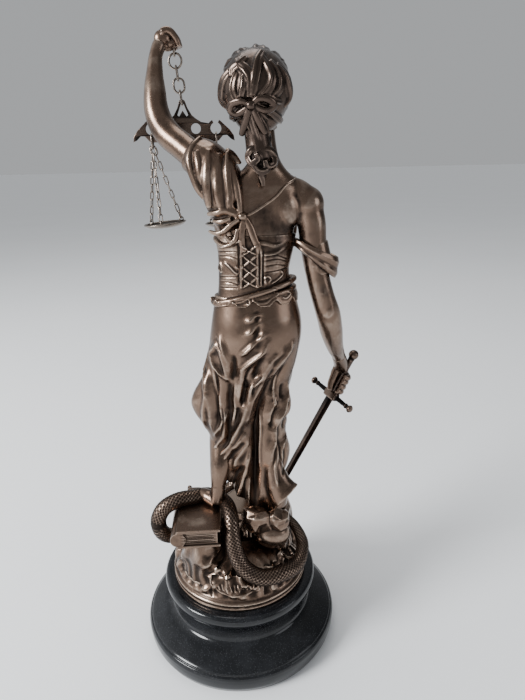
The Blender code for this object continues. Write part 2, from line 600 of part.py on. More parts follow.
# The skirt's outline by height: (z, left x, right x, back y, front y), in drawn units.
SKIRT_OUTLINE = (
    (251, 8.8, -41.0, 15.0, -14.0),
    (243, 9.8, -42.9, 17.4, -15.4),
    (234, 11.4, -44.8, 19.6, -16.2),
    (224, 13.0, -45.0, 20.4, -16.8),
    (213, 14.4, -43.2, 18.6, -17.6),
    (203, 16.2, -41.0, 15.2, -18.6),
    (193, 21.4, -37.8, 13.0, -20.4),
    (185, 26.0, -37.0, 12.4, -21.4),
    (178, 27.8, -38.4, 12.2, -21.2),
    (170, 25.2, -38.0, 12.2, -19.6),
    (162, 20.4, -33.6, 12.0, -18.0),
    (152, 16.4, -35.2, 12.2, -17.4),
    (141, 16.0, -37.6, 12.6, -18.0),
    (131, 14.0, -36.2, 13.0, -19.2),
    (122, 11.6, -33.4, 13.6, -20.8),
    (113, 8.4, -35.6, 14.2, -22.2),
    (103, 6.4, -35.8, 14.6, -23.2),
    (95, 5.6, -35.0, 14.0, -23.0),
)

# Skirt folds: (side, height, width, (x, z), (x, z), ...), ridges above zero and hollows below it.
SKIRT_FOLDS = (
    (BACK, 2.0, 2.6, (14, 215), (17, 206), (17, 197), (17, 186), (19, 175), (19, 161)),
    (BACK, 1.8, 2.2, (15, 205), (15, 192), (15, 182), (14, 161)),
    (BACK, 2.2, 2.0, (9, 222), (12, 215), (11, 208), (7, 202), (4, 199)),
    (BACK, 2.0, 2.0, (9, 222), (6, 217), (4, 208), (2, 196)),
    (BACK, 1.7, 1.9, (7, 227), (4, 218), (2, 211), (1, 202)),
    (BACK, 2.2, 2.2, (-20, 230), (-14, 224), (-9, 219), (-7, 216)),
    (BACK, 2.7, 2.4, (-22, 224), (-19, 218), (-12, 212), (-7, 207), (-6, 199), (-4, 188), (-3, 181)),
    (BACK, 2.9, 2.4, (-30, 216), (-24, 211), (-20, 205), (-16, 198), (-11, 192), (-9, 183), (-5, 170), (2, 154),
     (8, 145), (14, 134)),
    (BACK, 2.3, 2.2, (-24, 208), (-20, 201), (-17, 193), (-12, 184), (-10, 176), (-7, 165)),
    (BACK, 2.4, 2.3, (-7, 162), (-3, 154), (3, 146), (11, 133), (14, 126)),
    (BACK, 2.0, 2.2, (-7, 160), (-8, 153), (-4, 146), (-1, 141), (1, 133)),
    (BACK, 2.6, 2.5, (-10, 150), (-9, 142), (-6, 130), (-2, 116), (1, 107)),
    (BACK, 1.9, 2.0, (4, 176), (6, 170), (9, 164), (13, 157)),
    (BACK, 1.7, 1.9, (7, 164), (7, 157), (10, 152), (16, 142)),
    (BACK, 3.0, 2.7, (-35, 183), (-33, 174), (-28, 167), (-25, 161), (-25, 153), (-23, 145), (-22, 137), (-23, 128)),
    (BACK, 1.7, 1.9, (-28, 183), (-26, 180), (-23, 173), (-22, 165)),
    (BACK, 2.4, 2.5, (-38, 222), (-34, 215), (-27, 206), (-24, 198)),
    (BACK, 1.6, 2.0, (-35, 192), (-35, 186), (-34, 180)),
    (BACK, 2.2, 2.4, (-35, 152), (-31, 148), (-30, 142), (-30, 135)),
    (BACK, 1.4, 2.4, (-18, 242), (-14, 240), (-11, 237)),
    (BACK, 1.4, 2.4, (-18, 238), (-14, 233), (-10, 229)),
    (BACK, -2.8, 2.5, (2, 198), (3, 184), (3, 172), (4, 166), (5, 152), (9, 145)),
    (BACK, -1.9, 2.0, (-1, 216), (-1, 207), (0, 199)),
    (BACK, -2.0, 2.2, (-19, 214), (-16, 207), (-14, 200)),
    (BACK, -4.4, 3.2, (-26, 200), (-22, 188), (-18, 177), (-15, 165), (-14, 147), (-13, 129), (-12, 108)),
    (BACK, -2.4, 2.1, (11, 203), (11, 191), (11, 181), (11, 167)),
    (BACK, -2.2, 2.3, (-5, 136), (0, 130), (3, 123), (5, 116)),
    (BACK, -2.0, 1.9, (-9, 198), (-7, 190), (-6, 181)),
    (BACK, -1.7, 1.8, (-32, 192), (-32, 186), (-32, 181)),
    (BACK, -2.0, 2.0, (-29, 176), (-26, 171), (-24, 161)),
    (BACK, -2.0, 2.0, (-3, 178), (-2, 170), (2, 161)),
    (BACK, -2.0, 2.0, (0, 149), (4, 141), (8, 137)),
    (BACK, -2.2, 2.3, (-33, 207), (-28, 196), (-25, 186)),
    (BACK, -1.8, 2.6, (-16.4, 243), (-16.2, 232), (-15.0, 222)),
    (FRONT, 3.0, 4.0, (-14, 246), (-4, 226), (6, 206), (10, 186), (8, 166), (6, 146), (4, 124), (3, 100)),
    (FRONT, 2.6, 3.6, (-17, 246), (-12, 222), (-6, 198), (-4, 174), (-5, 150), (-6, 126), (-7, 98)),
    (FRONT, 3.0, 4.0, (-19, 246), (-20, 222), (-19, 196), (-17, 170), (-16, 144), (-16, 120), (-17, 96)),
    (FRONT, 2.6, 3.6, (-24, 244), (-30, 222), (-31, 198), (-28, 172), (-26, 148), (-26, 122), (-27, 96)),
    (FRONT, 2.4, 3.4, (-32, 240), (-38, 220), (-38, 198), (-34, 178), (-33, 156), (-32, 132), (-32, 100)),
    (FRONT, -3.2, 3.4, (-12, 236), (-6, 212), (1, 192), (2, 170), (1, 148), (-1, 122), (-2, 96)),
    (FRONT, -3.0, 3.2, (-17, 232), (-14, 208), (-11, 184), (-11, 158), (-11, 132), (-12, 96)),
    (FRONT, -3.2, 3.4, (-22, 234), (-25, 210), (-24, 184), (-22, 158), (-21, 132), (-22, 96)),
    (FRONT, -2.4, 3.0, (-30, 228), (-35, 206), (-33, 184), (-30, 160), (-29, 134), (-29, 96)),
)
FOLD_DEPTH = 1.2
HEM_HEIGHTS = ((0, 137), (40, 122), (70, 106), (100, 99), (150, 97), (200, 96), (250, 95), (285, 96), (315, 128),
               (335, 142), (360, 137))


def skirt_station(z):
    table = np.array(SKIRT_OUTLINE)[::-1]
    return [float(np.interp(z, table[:, 0], table[:, column])) for column in range(1, 5)]


def fold_rise(fold, angle, z):
    """How far one fold lifts the cloth at an angle and height, and falls off at its ends."""
    side, height, width = fold[:3]
    path = np.array(fold[3:])[::-1]
    if z < path[0, 1] - 6 or z > path[-1, 1] + 6 or side * math.sin(angle) < -0.2:
        return 0.0
    left, right, back, front = skirt_station(z)
    middle = 0.5 * (left + right)
    half = 0.5 * (left - right)
    x = float(np.interp(z, path[:, 1], path[:, 0]))
    share = max(-1.0, min(1.0, (x - middle) / half))
    centre = math.acos(share) * side
    turn = (angle - centre + math.pi) % (2 * math.pi) - math.pi
    span = half if abs(share) < 0.8 else 0.8 * half
    away = turn * span / width
    span_z = path[-1, 1] - path[0, 1]
    down = (z - path[0, 1]) / span_z
    taper = max(0.0, min(1.0, (down + 0.08) / 0.22)) * max(0.0, min(1.0, (1.08 - down) / 0.28))
    return FOLD_DEPTH * height * taper * math.exp(-abs(away) ** 1.7)


def skirt(clay, around=150, step=1.6):
    """The long skirt: an outline read off by height, with its folds laid over it."""
    top = SKIRT_OUTLINE[0][0]
    angles = [2 * math.pi * i / around for i in range(around)]
    hem_angles = [math.radians(entry[0]) for entry in HEM_HEIGHTS]
    hems = [float(np.interp(angle, hem_angles, [entry[1] for entry in HEM_HEIGHTS])) for angle in angles]
    rows = int((top - min(hems)) / step)
    rings = []
    for row in range(rows + 1):
        ring = []
        for angle, hem in zip(angles, hems):
            z = hem + (top - hem) * row / rows
            left, right, back, front = skirt_station(z)
            half_x = 0.5 * (left - right)
            half_y = back if math.sin(angle) > 0 else -front
            rise = sum(fold_rise(fold, angle, z) for fold in SKIRT_FOLDS)
            x = 0.5 * (left + right) + (half_x + rise) * math.cos(angle)
            y = (half_y + rise) * math.sin(angle)
            ring.append(at(x, y, z))
        rings.append(ring)
    skin_rings(clay, rings)


def horn(clay, stations, count=24):
    """A loft along a bent path: each station is (centre, axis, radius across, radius along the back)."""
    rings = []
    for centre, axis, across, deep in stations:
        axis = Vector(axis).normalized()
        side = Vector((0, 1, 0)).cross(axis).normalized()
        back = axis.cross(side)
        ring = []
        for step in range(count):
            angle = 2 * math.pi * step / count
            spoke = side * (across * math.cos(angle)) + back * (deep * math.sin(angle))
            ring.append(at(*(Vector(centre) + spoke)))
        rings.append(ring)
    skin_rings(clay, rings)


def skirt_flare(clay):
    """The trumpet-shaped fold that the hem throws out at the right heel, open at its mouth."""
    horn(clay, (
        ((-24.0, 6, 152), (0.0, 0.0, -1.0), 3.0, 3.0),
        ((-25.0, 9, 141), (-0.05, 0.1, -1.0), 4.6, 4.2),
        ((-26.2, 12, 131), (-0.15, 0.15, -1.0), 6.4, 5.4),
        ((-28.0, 14, 122.5), (-0.35, 0.25, -0.9), 8.6, 6.6),
        ((-30.6, 15.6, 116.0), (-0.6, 0.35, -0.75), 10.8, 7.4),
        ((-33.0, 17.0, 113.0), (-0.68, 0.4, -0.6), 12.2, 8.0),
        ((-33.2, 17.1, 112.8), (-0.68, 0.4, -0.6), 10.2, 6.2),
        ((-30.2, 15.0, 117.0), (-0.6, 0.35, -0.75), 8.0, 4.8),
        ((-28.2, 13.6, 121.5), (-0.4, 0.25, -0.9), 4.0, 2.6),
    ))


def legs(clay):
    """The bare left calf and foot on the book, and the right foot in its sandal."""
    rod(clay, (4, -8, 172, 11), (8, -2, 150, 9.4), (10.4, 6, 134, 7.4), (12.6, 10, 120, 5.0), (13.6, 11.5, 112, 4.9),
        (14.4, 12, 108.8, 4.8))
    rod(clay, (14.0, 13, 108.6, 4.4), (20, 7.5, 110.4, 4.9), (27, 1, 109.0, 4.2), (33.5, -4, 107.6, 2.8))
    for toe in range(5):
        rod(clay, (30.0 + 0.9 * toe, 1.0 - 2.2 * toe, 108.0, 1.8), (35.5 - 0.3 * toe, -1.2 - 2.2 * toe, 107.0, 1.5))
    rod(clay, (-24, -2, 130, 8), (-28, 6, 110, 5.4), (-30, 8, 100, 5.4))
    rod(clay, (-30, 9, 98.6, 5.2), (-31, -4, 99.4, 5.0), (-33, -18, 96.4, 4.4), (-34, -27, 94.2, 3.2))
    for toe in range(5):
        rod(clay, (-29.4 - 2.3 * toe, -24 + 0.6 * toe, 94.6, 2.0), (-30.2 - 2.3 * toe, -30.5 + 1.4 * toe, 93.6, 1.6))


def book(clay):
    """A thick closed book under the left foot, its rounded spine to the left rear."""
    block(clay, (26.2, 18.5, 99.4), (25.0, 37.0, 8.6))
    block(clay, (26.0, 18.6, 105.0), (28.0, 39.6, 1.8))
    block(clay, (26.0, 18.6, 93.8), (28.0, 39.6, 1.8))
    rod(clay, (39.0, -1, 99.4, 5.2), (39.0, 38.2, 99.4, 5.2))


SNAKE_PATH = (
    (-21, -6, 92, 1.4), (-31, 5, 91, 2.6), (-39.5, 11, 84.5, 3.4), (-44.0, 19, 75, 4.2), (-38.5, 32, 69.5, 4.8),
    (-26.5, 41, 70.5, 5.2), (-13.5, 43.6, 71.0, 5.4), (-3.0, 41, 76.5, 5.4), (2.6, 36.5, 86, 5.4), (4.4, 31, 97, 5.2),
    (5.0, 23, 105.5, 5.0), (9, 10, 107, 5.0), (20, 3, 108.4, 5.2), (31, 6, 109.2, 5.3), (41.0, 9, 109.6, 5.3),
    (50.4, 11, 105.0, 5.3), (54.8, 12, 95.6, 5.3), (52.6, 10, 84.4, 5.2), (45.6, 4, 77.6, 5.2), (39, -10, 74.8, 5.1),
    (31, -25, 75.0, 5.0), (19, -37, 77.4, 4.8), (7.5, -42.5, 81.6, 4.5), (0.5, -44.5, 87.0, 4.3), (-5.0, -46.0, 88.6, 4.4),
    (-10.5, -46.2, 87.2, 3.2),
)


def snake(clay):
    """The snake crushed under the book and heel: tail at the right, looped over the left edge, head in front."""
    rod(clay, *SNAKE_PATH, sides=12, resolution=6)
    ball(clay, (-7.6, -46.2, 88.2), (5.2, 3.9, 3.2), (0, 8, 4))


def mound_rise(angle, share):
    """The rolling relief of the rocky mound, by angle round it and share of its height."""
    wave = math.sin(9 * angle + 5.5 * share + 1.1 * math.sin(4 * angle))
    ripple = math.sin(17 * angle - 7.0 * share + 2.0 * math.sin(3 * angle + 1.3))
    return (1.9 * wave + 1.1 * ripple) * math.sin(math.pi * min(1.0, share * 1.15)) ** 0.6


def mound(clay, around=120):
    """The rocky mound, with the double ring round its foot."""
    edge = MOUND_RADIUS / UNIT
    profile = ((47.6, 0.0), (49.9, 0.0), (50.3, -0.9), (51.0, -0.9), (51.4, -0.3), (52.8, -0.3), (53.3, -1.8))
    body = ((55, -2.4), (59, -3.2), (63, -4.4), (67, -6.4), (70.5, -9.0), (73.5, -12.5), (76, -17), (78, -23),
            (79.5, -30))
    rings = []
    for z, inset in profile:
        rings.append([at((edge + inset) * math.cos(2 * math.pi * i / around),
                         (edge + inset) * math.sin(2 * math.pi * i / around), z) for i in range(around)])
    low, high = body[0][0], body[-1][0]
    for z, inset in body:
        ring = []
        for i in range(around):
            angle = 2 * math.pi * i / around
            radius = edge + inset + mound_rise(angle, (z - low) / (high - low))
            ring.append(at(radius * math.cos(angle), radius * math.sin(angle), z))
        rings.append(ring)
    skin_rings(clay, rings)
    loft(clay, (60, 22, 10, 19, 26), (78, 24, 13, 16, 23), (94, 25, 16, 12, 18))
    loft(clay, (60, -24, -4, 16, 26), (80, -26, -4, 13, 25), (92, -28, -6, 10, 21), (94.5, -29, -8, 7, 17))
    loft(clay, (60, -6, -10, 20, 26), (84, -6, -6, 18, 20), (98, -6, -4, 16, 16))


def crumple(clay, centre, radii, cell, depth, subdivisions=5):
    """A ball of crumpled cloth: sharp ridges between sunken facets of about one cell each."""
    made = bmesh.ops.create_icosphere(clay, subdivisions=subdivisions, radius=1.0)
    for vert in made["verts"]:
        spot = Vector((vert.co[i] * radii[i] for i in range(3)))
        near = noise.voronoi((spot + Vector(centre)) / cell)[0]
        ridge = max(0.0, 1.0 - 1.9 * (near[1] - near[0]))
        spot += vert.co * (depth * (ridge ** 1.5 - 0.35))
        vert.co = at(*(Vector(centre) + spot))


def draped_rock(clay):
    """The boulder behind the heels with crumpled cloth fallen over it."""
    ball(clay, (-23.0, 21.0, 87.0), (12.0, 8.8, 10.0))
    crumple(clay, (-13.0, 22.5, 100.0), (10.4, 7.0, 9.4), 6.4, 2.6)
    crumple(clay, (-25.5, 21.5, 98.5), (9.4, 7.6, 8.4), 6.8, 2.6)


# Strokes on the finished skin: side, height, width, then (x, z) points; a height below zero is a groove.
DRAPE_STROKES = (
    (BACK, -1.5, 1.5, (-0.1, 325.0), (0.2, 315.2), (-1.1, 306.0)),
    (BACK, -1.3, 1.3, (-5.6, 325.5), (-6.0, 318.0), (-6.4, 311.0), (-6.0, 303.0)),
    (BACK, -1.6, 1.4, (17.4, 332.0), (16.6, 326.0), (15.6, 319.0), (13.6, 312.0)),
    (BACK, -1.4, 1.4, (6.8, 328.0), (7.2, 320.0), (7.0, 312.0), (5.6, 304.0)),
    (BACK, -1.2, 1.3, (12.6, 328.0), (12.4, 322.0), (12.4, 315.0)),
    (BACK, -1.2, 1.3, (8.0, 292.0), (3.0, 291.6), (-1.4, 293.4)),
    (BACK, -1.4, 1.4, (1.6, 297.6), (-2.6, 297.4)),
)


def carve(mesh, strokes):
    """Presses grooves and raises ridges along smooth strokes, drawn as seen from behind or in front."""
    count = len(mesh.vertices)
    points = np.empty(count * 3, np.float32)
    mesh.vertices.foreach_get("co", points)
    points = points.reshape(-1, 3).astype(np.float64)
    normals = np.empty(count * 3, np.float32)
    mesh.vertex_normals.foreach_get("vector", normals)
    normals = normals.reshape(-1, 3).astype(np.float64)
    moved = points.copy()
    flat = points[:, (0, 2)]
    for side, height, width, *knots in strokes:
        rows = smooth_path(knots)
        line = np.array([at(x, 0, z) for x, z in rows])[:, (0, 2)]
        lengths = np.concatenate([[0.0], np.cumsum(np.linalg.norm(np.diff(line, axis=0), axis=1))])
        reach = width * UNIT
        places = np.linspace(0, lengths[-1], max(2, int(lengths[-1] / (0.35 * reach))))
        line = np.stack([np.interp(places, lengths, line[:, axis]) for axis in range(2)], 1)
        facing = np.clip(normals[:, 1] * side * 4.0, 0.0, 1.0)
        inside = (flat > line.min(0) - 2.6 * reach).all(1) & (flat < line.max(0) + 2.6 * reach).all(1)
        near = np.nonzero(inside & (facing > 0))[0]
        if not len(near):
            continue
        squares = ((flat[near][:, None] - line[None]) ** 2).sum(2)
        share = squares.argmin(1) / (len(line) - 1)
        ends = np.clip(np.minimum(share, 1 - share) / 0.15 + 0.25, 0, 1)
        rise = height * UNIT * ends * facing[near] * np.exp(-squares.min(1) / reach ** 2)
        moved[near] += normals[near] * rise[:, None]
    mesh.vertices.foreach_set("co", moved.astype(np.float32).ravel())
    mesh.update()


BODY_FORMS = (torso, right_arm, left_arm)
OUTER_FORMS = (head, legs, right_hand, left_hand, bodice, hair, blindfold_bow, left_sleeve, tied_strap, corset, right_sleeve,
               skirt, skirt_flare, book, snake, mound, draped_rock)


def fused(lump, voxel, easing):
    """The lump as one closed skin, eased by that many smoothing passes; sealed pockets are dropped."""
    mesh = bpy.data.meshes.new("clay")
    lump.to_mesh(mesh)
    lump.free()
    holder = bpy.data.objects.new("clay", mesh)
    bpy.context.scene.collection.objects.link(holder)
    remesh = holder.modifiers.new("fuse", "REMESH")
    remesh.mode = "VOXEL"
    remesh.voxel_size = voxel
    ease = holder.modifiers.new("ease", "SMOOTH")
    ease.factor = 0.5
    ease.iterations = easing
    skin = take_mesh(holder)
    bpy.data.meshes.remove(mesh)
    return outer_shell(skin)


def outer_shell(mesh):
    """The same mesh with only its largest shell."""
    body = bmesh.new()
    body.from_mesh(mesh)
    body.verts.ensure_lookup_table()
    shell_of = [-1] * len(body.verts)
    shells = []
    for seed in body.verts:
        if shell_of[seed.index] >= 0:
            continue
        shell_of[seed.index] = len(shells)
        members = [seed]
        for vert in members:
            for edge in vert.link_edges:
                other = edge.other_vert(vert)
                if shell_of[other.index] < 0:
                    shell_of[other.index] = len(shells)
                    members.append(other)
        shells.append(members)
    shells.sort(key=len)
    for members in shells[:-1]:
        bmesh.ops.delete(body, geom=members, context="VERTS")
    body.to_mesh(mesh)
    body.free()
    return mesh


def triangle_count(mesh):
    mesh.calc_loop_triangles()
    return len(mesh.loop_triangles)


def is_close_work(point):
    """Whether a point lies at the head or the dressed upper body, which keep more of their triangles."""
    low, high = at(DRESS_RIGHT, 0, DRESS_LOW), at(DRESS_LEFT, 0, DRESS_HIGH)
    in_dress = low.x < point.x < high.x and low.z < point.z < high.z
    return in_dress or (point - at(*HEAD_MIDDLE)).length < HEAD_REACH * UNIT


def thinned(mesh, inner, outer):
    """The mesh collapsed to about so many triangles in the close work and so many in all the rest."""
    holder = bpy.data.objects.new("thin", mesh)
    bpy.context.scene.collection.objects.link(holder)
    group = holder.vertex_groups.new(name="close_work")
    near = {vert.index for vert in mesh.vertices if is_close_work(vert.co)}
    group.add(sorted(near), 1.0, "REPLACE")
    total = triangle_count(mesh)
    dense = sum(near.issuperset(triangle.vertices) for triangle in mesh.loop_triangles)
    counts = (total, dense + outer, inner + outer)
    for order in range(2):
        collapse = holder.modifiers.new("thin", "DECIMATE")
        collapse.vertex_group = group.name
        collapse.vertex_group_factor = 10.0
        collapse.invert_vertex_group = order == 0
        collapse.ratio = counts[order + 1] / counts[order]
        collapse.use_collapse_triangulate = True
    return take_mesh(holder)


def cylinder_between(start, end, radius, sides=16):
    """A closed round bar from start to end."""
    axis = end - start
    bar = bmesh.new()
    matrix = Matrix.Translation((start + end) / 2) @ axis.to_track_quat("Z", "Y").to_matrix().to_4x4()
    bmesh.ops.create_cone(bar, cap_ends=True, segments=sides, radius1=radius, radius2=radius, depth=axis.length,
                          matrix=matrix)
    mesh = bpy.data.meshes.new("bar")
    bar.to_mesh(mesh)
    bar.free()
    return mesh


def add_cutter(name, mesh, collection):
    cutter = add_object(name, mesh, collection)
    cutter.hide_render = True
    cutter.display_type = "WIRE"
    return cutter


def cut_with(obj, cutter):
    cut = obj.modifiers.new("cut_" + cutter.name, "BOOLEAN")
    cut.operation = "DIFFERENCE"
    cut.solver = "EXACT"
    cut.object = cutter


def seat_flat(mesh):
    """The casting's underside pressed flat at the seat."""
    points = np.empty(len(mesh.vertices) * 3, np.float32)
    mesh.vertices.foreach_get("co", points)
    points = points.reshape(-1, 3)
    low = points[:, 2] < SEAT + 0.6 * CLAY_VOXEL
    points[low, 2] = SEAT
    mesh.vertices.foreach_set("co", points.ravel())
    mesh.update()


def make_figure(parts, cutters, bronze):
    body = bmesh.new()
    for form in BODY_FORMS:
        form(body)
    flesh = fused(body, CLAY_VOXEL, BODY_EASING)
    lump = bmesh.new()
    lump.from_mesh(flesh)
    bpy.data.meshes.remove(flesh)
    for form in OUTER_FORMS:
        form(lump)
    skin = fused(lump, CLAY_VOXEL, CLOTH_EASING)
    carve(skin, DRAPE_STROKES)
    seat_flat(skin)
    mesh = thinned(skin, CLOSE_TRIANGLES, BODY_TRIANGLES)
    seat_flat(mesh)
    figure = add_object("figure", smooth_shaded(mesh), parts, bronze)
    guard, axis = sword_axis()
    bore = cylinder_between(guard - axis * 0.004, guard + axis * (GRIP_LENGTH + 0.012), GRIP_RADIUS + GRIP_CLEARANCE)
    cut_with(figure, add_cutter("grip_bore", bore, cutters))
    for side in (-1, 1):
        foot = eye_foot(side)
        hole = cylinder_between(foot - Vector((0, 0, 0.0012)), foot + Vector((0, 0, EYE_DEPTH + EYE_CLEARANCE)),
                                HANG_WIRE + EYE_CLEARANCE, sides=10)
        cut_with(figure, add_cutter(f"eye_hole_{side + 2}", hole, cutters))
    return figure


def eye_foot(side):
    return at(*HANG_POINT) + Vector((0, side * EYE_RADIUS, EYE_LIFT))


def make_eye(parts, steel):
    """The small staple in the hand: two legs and a half-round bow."""
    points = [eye_foot(-1) + Vector((0, 0, EYE_DEPTH)), eye_foot(-1)]
    centre = at(*HANG_POINT) + Vector((0, 0, EYE_LIFT))
    for step in range(1, 6):
        angle = math.pi + math.pi * step / 6
        points.append(centre + Vector((0, EYE_RADIUS * math.cos(angle), EYE_RADIUS * math.sin(angle))))
    points += [eye_foot(1), eye_foot(1) + Vector((0, 0, EYE_DEPTH))]
    mesh = curve_mesh(points, [HANG_WIRE] * len(points), 1, 6, curve_type="POLY")
    return add_object("hand_eye", smooth_shaded(welded(mesh)), parts, steel)


def welded(mesh):
    body = bmesh.new()
    body.from_mesh(mesh)
    bmesh.ops.remove_doubles(body, verts=body.verts, dist=1e-6)
    body.to_mesh(mesh)
    body.free()
    return mesh


def stadium_turn(direction, normal):
    """The rotation that stands a ring in the plane of direction and at right angles to normal."""
    up = direction.normalized()
    out = (normal - up * normal.dot(up)).normalized()
    side = out.cross(up)
    return Matrix((side, out, up)).transposed().to_4x4()


def small_link(centre, half_width, half_height, wire, direction, normal):
    """A six-cornered link of three-sided wire: its flat ends lie along direction and it faces along normal."""
    bpy.ops.mesh.primitive_torus_add(major_segments=LINK_CORNERS, minor_segments=3, major_radius=1.0,
                                     minor_radius=TORUS_TUBE)
    holder = bpy.context.object
    mesh = holder.data.copy()
    bpy.data.objects.remove(holder, do_unlink=True)
    points = np.empty(len(mesh.vertices) * 3, np.float32)
    mesh.vertices.foreach_get("co", points)
    points = points.reshape(-1, 3)
    spokes = np.hypot(points[:, 0], points[:, 1])
    # The wire's section is turned so that a corner of it faces inwards, where links touch.
    away = (1.0 - spokes) / TORUS_TUBE * wire
    corner_rise = math.sin(2 * math.pi / LINK_CORNERS)
    shaped = np.stack([points[:, 0] / spokes * (half_width + away), points[:, 2] / TORUS_TUBE * wire,
                       points[:, 1] / spokes / corner_rise * (half_height + away)], 1)
    mesh.vertices.foreach_set("co", shaped.astype(np.float32).ravel())
    mesh.transform(stadium_turn(direction, normal))
    mesh.transform(Matrix.Translation(centre))
    mesh.update()
    return mesh


def wire_ring(centre, half_width, half_height, wire, up, normal, turns=4, sides=6):
    """A bent wire link with straight sides and round ends, closed on itself."""
    turn = stadium_turn(up, normal)
    straight = half_height - half_width
    points = []
    for end in (1, -1):
        for step in range(turns + 1):
            angle = math.pi * step / turns
            local = Vector((end * half_width * math.cos(angle), 0, end * (half_width * math.sin(angle) + straight)))
            if straight > 1e-6 or step < turns:
                points.append(centre + turn.to_3x3() @ local)
    mesh = curve_mesh(points, [wire] * len(points), 1, sides, cyclic=True, curve_type="POLY")
    return welded(mesh)


def joined(meshes):
    """One closed body from meshes that overlap where they touch."""
    scene = bpy.context.scene.collection
    holder = bpy.data.objects.new("joined", meshes[0])
    scene.objects.link(holder)
    others = []
    for mesh in meshes[1:]:
        other = bpy.data.objects.new("joining", mesh)
        scene.objects.link(other)
        others.append(other)
        union = holder.modifiers.new("join", "BOOLEAN")
        union.operation = "UNION"
        union.solver = "EXACT"
        union.object = other
    result = take_mesh(holder)
    for other in others:
        bpy.data.objects.remove(other, do_unlink=True)
    return result


ACROSS = Vector((1, 0, 0))
BACKWARD = Vector((0, 1, 0))
UPWARD = Vector((0, 0, 1))
HANG_LEAN = math.radians(6.0)


def hang_line():
    """The eye's lowest inside point and the direction that the rings hang in."""
    bow = at(*HANG_POINT) + Vector((0, 0, EYE_LIFT - EYE_RADIUS))
    return bow, Vector((-math.sin(HANG_LEAN), 0, -math.cos(HANG_LEAN)))


def hang_stations():
    """(centre, half width, half height, normal) of each ring below the eye, then the beam's hanging point."""
    point, down = hang_line()
    sizes = ((HANG_RING_RADIUS, HANG_RING_RADIUS), (HANG_LINK_WIDTH, HANG_LINK_RADIUS),
             (HANG_LINK_WIDTH * 1.35, HANG_LINK_RADIUS), (HANG_LINK_WIDTH, HANG_LINK_RADIUS))
    gap = 2 * HANG_WIRE + LINK_SLACK
    stations = []
    level = point
    for order, (half_width, half_height) in enumerate(sizes):
        centre = level + down * (half_height - gap)
        if order == 0:
            normal = (BACKWARD * 0.94 + ACROSS * 0.34).normalized()
        else:
            normal = ACROSS if order % 2 else BACKWARD
        stations.append((centre, half_width, half_height, normal))
        level = centre + down * half_height
    return stations, level


def make_hanging_rings(parts, steel):
    _, down = hang_line()
    for order, (centre, half_width, half_height, normal) in enumerate(hang_stations()[0]):
        turns = 6 if half_width == half_height else 4
        mesh = wire_ring(centre, half_width, half_height, HANG_WIRE, -down, normal, turns)
        add_object(f"hang_ring_{order + 1}", smooth_shaded(mesh), parts, steel)


def beam_centre():
    """The middle of the beam's bottom edge; its top eye sits round the last ring."""
    level = hang_stations()[1]
    return level + Vector((0, 0, HANG_WIRE + LINK_SLACK + BEAM_EYE_STRIP - BEAM_RISE))


def arc(cx, cz, radius, start, end, steps):
    """Points on a circle from one angle to another, in degrees."""
    points = []
    for step in range(steps + 1):
        turn = math.radians(start + (end - start) * step / steps)
        points.append((cx + radius * math.cos(turn), cz + radius * math.sin(turn)))
    return points


def beam_half_outline():
    """The right half of the beam's outline, from its peak round to the middle of its bottom edge."""
    span = BEAM_HALF_SPAN
    hole_z = BEAM_HOLE_HEIGHT
    lobe = END_HOLE_RADIUS + END_HOLE_WALL
    mouth = math.degrees(math.asin(0.4))
    outline = arc(0, BEAM_RISE - 0.0022, 0.0022, 90, 35, 3)
    outline += [(0.0031, BEAM_RISE - 0.0048), (0.0056, BEAM_RISE - 0.0090), (0.0080, BEAM_RISE - 0.0110),
                (0.0112, BEAM_RISE - 0.0130)]
    outline += arc(END_HOLE_OFFSET, hole_z, lobe, 145, 90 + mouth, 3)
    outline += arc(END_HOLE_OFFSET, hole_z, END_HOLE_RADIUS, 90 + mouth, 450 - mouth, 12)
    outline += arc(END_HOLE_OFFSET, hole_z, lobe, 90 - mouth, 40, 3)
    outline += [(span - 0.0030, hole_z - 0.0008), (span - 0.0005, hole_z - 0.0042), (span, hole_z - 0.0075),
                (span - 0.0022, hole_z - 0.0064), (span - 0.0048, hole_z - 0.0040), (span - 0.0074, hole_z - 0.0042),
                (END_HOLE_OFFSET + 0.0016, 0.0006), (END_HOLE_OFFSET - 0.0010, 0.0), (0.0070, 0.0),
                (0.0, 0.0010)]
    return outline


def make_beam(parts, dark):
    """The balance beam: a flat pierced plate with a peaked top and hooked ends."""
    half = beam_half_outline()
    outline = half + [(-x, z) for x, z in reversed(half[1:-1])]
    apex = BEAM_RISE - BEAM_EYE_STRIP
    foot = apex - 0.0075
    crown = BEAM_CROWN_RADIUS
    eye = arc(0, apex - crown, crown, 180, 0, 4)
    eye += [(0.0034, foot + 0.0008), (0.0023, foot), (0.0, foot + 0.0034), (-0.0023, foot), (-0.0034, foot + 0.0008)]
    holes = [eye]
    for side in (-1, 1):
        holes.append(arc(side * BEAM_HOLE_OFFSET, BEAM_HOLE_HEIGHT, BEAM_HOLE_RADIUS, 0, 330, 11))
    curve = bpy.data.curves.new("beam", "CURVE")
    curve.dimensions = "2D"
    curve.fill_mode = "BOTH"
    curve.extrude = BEAM_THICKNESS / 2
    for loop in [outline] + holes:
        spline = curve.splines.new("POLY")
        spline.points.add(len(loop) - 1)
        spline.use_cyclic_u = True
        for knot, (x, z) in zip(spline.points, loop):
            knot.co = (x, z, 0, 1)
    holder = bpy.data.objects.new("beam", curve)
    bpy.context.scene.collection.objects.link(holder)
    mesh = welded(take_mesh(holder))
    bpy.data.curves.remove(curve)
    mesh.transform(Matrix.Rotation(math.radians(90), 4, "X"))
    beam = add_object("beam", mesh, parts, dark)
    beam.location = beam_centre()


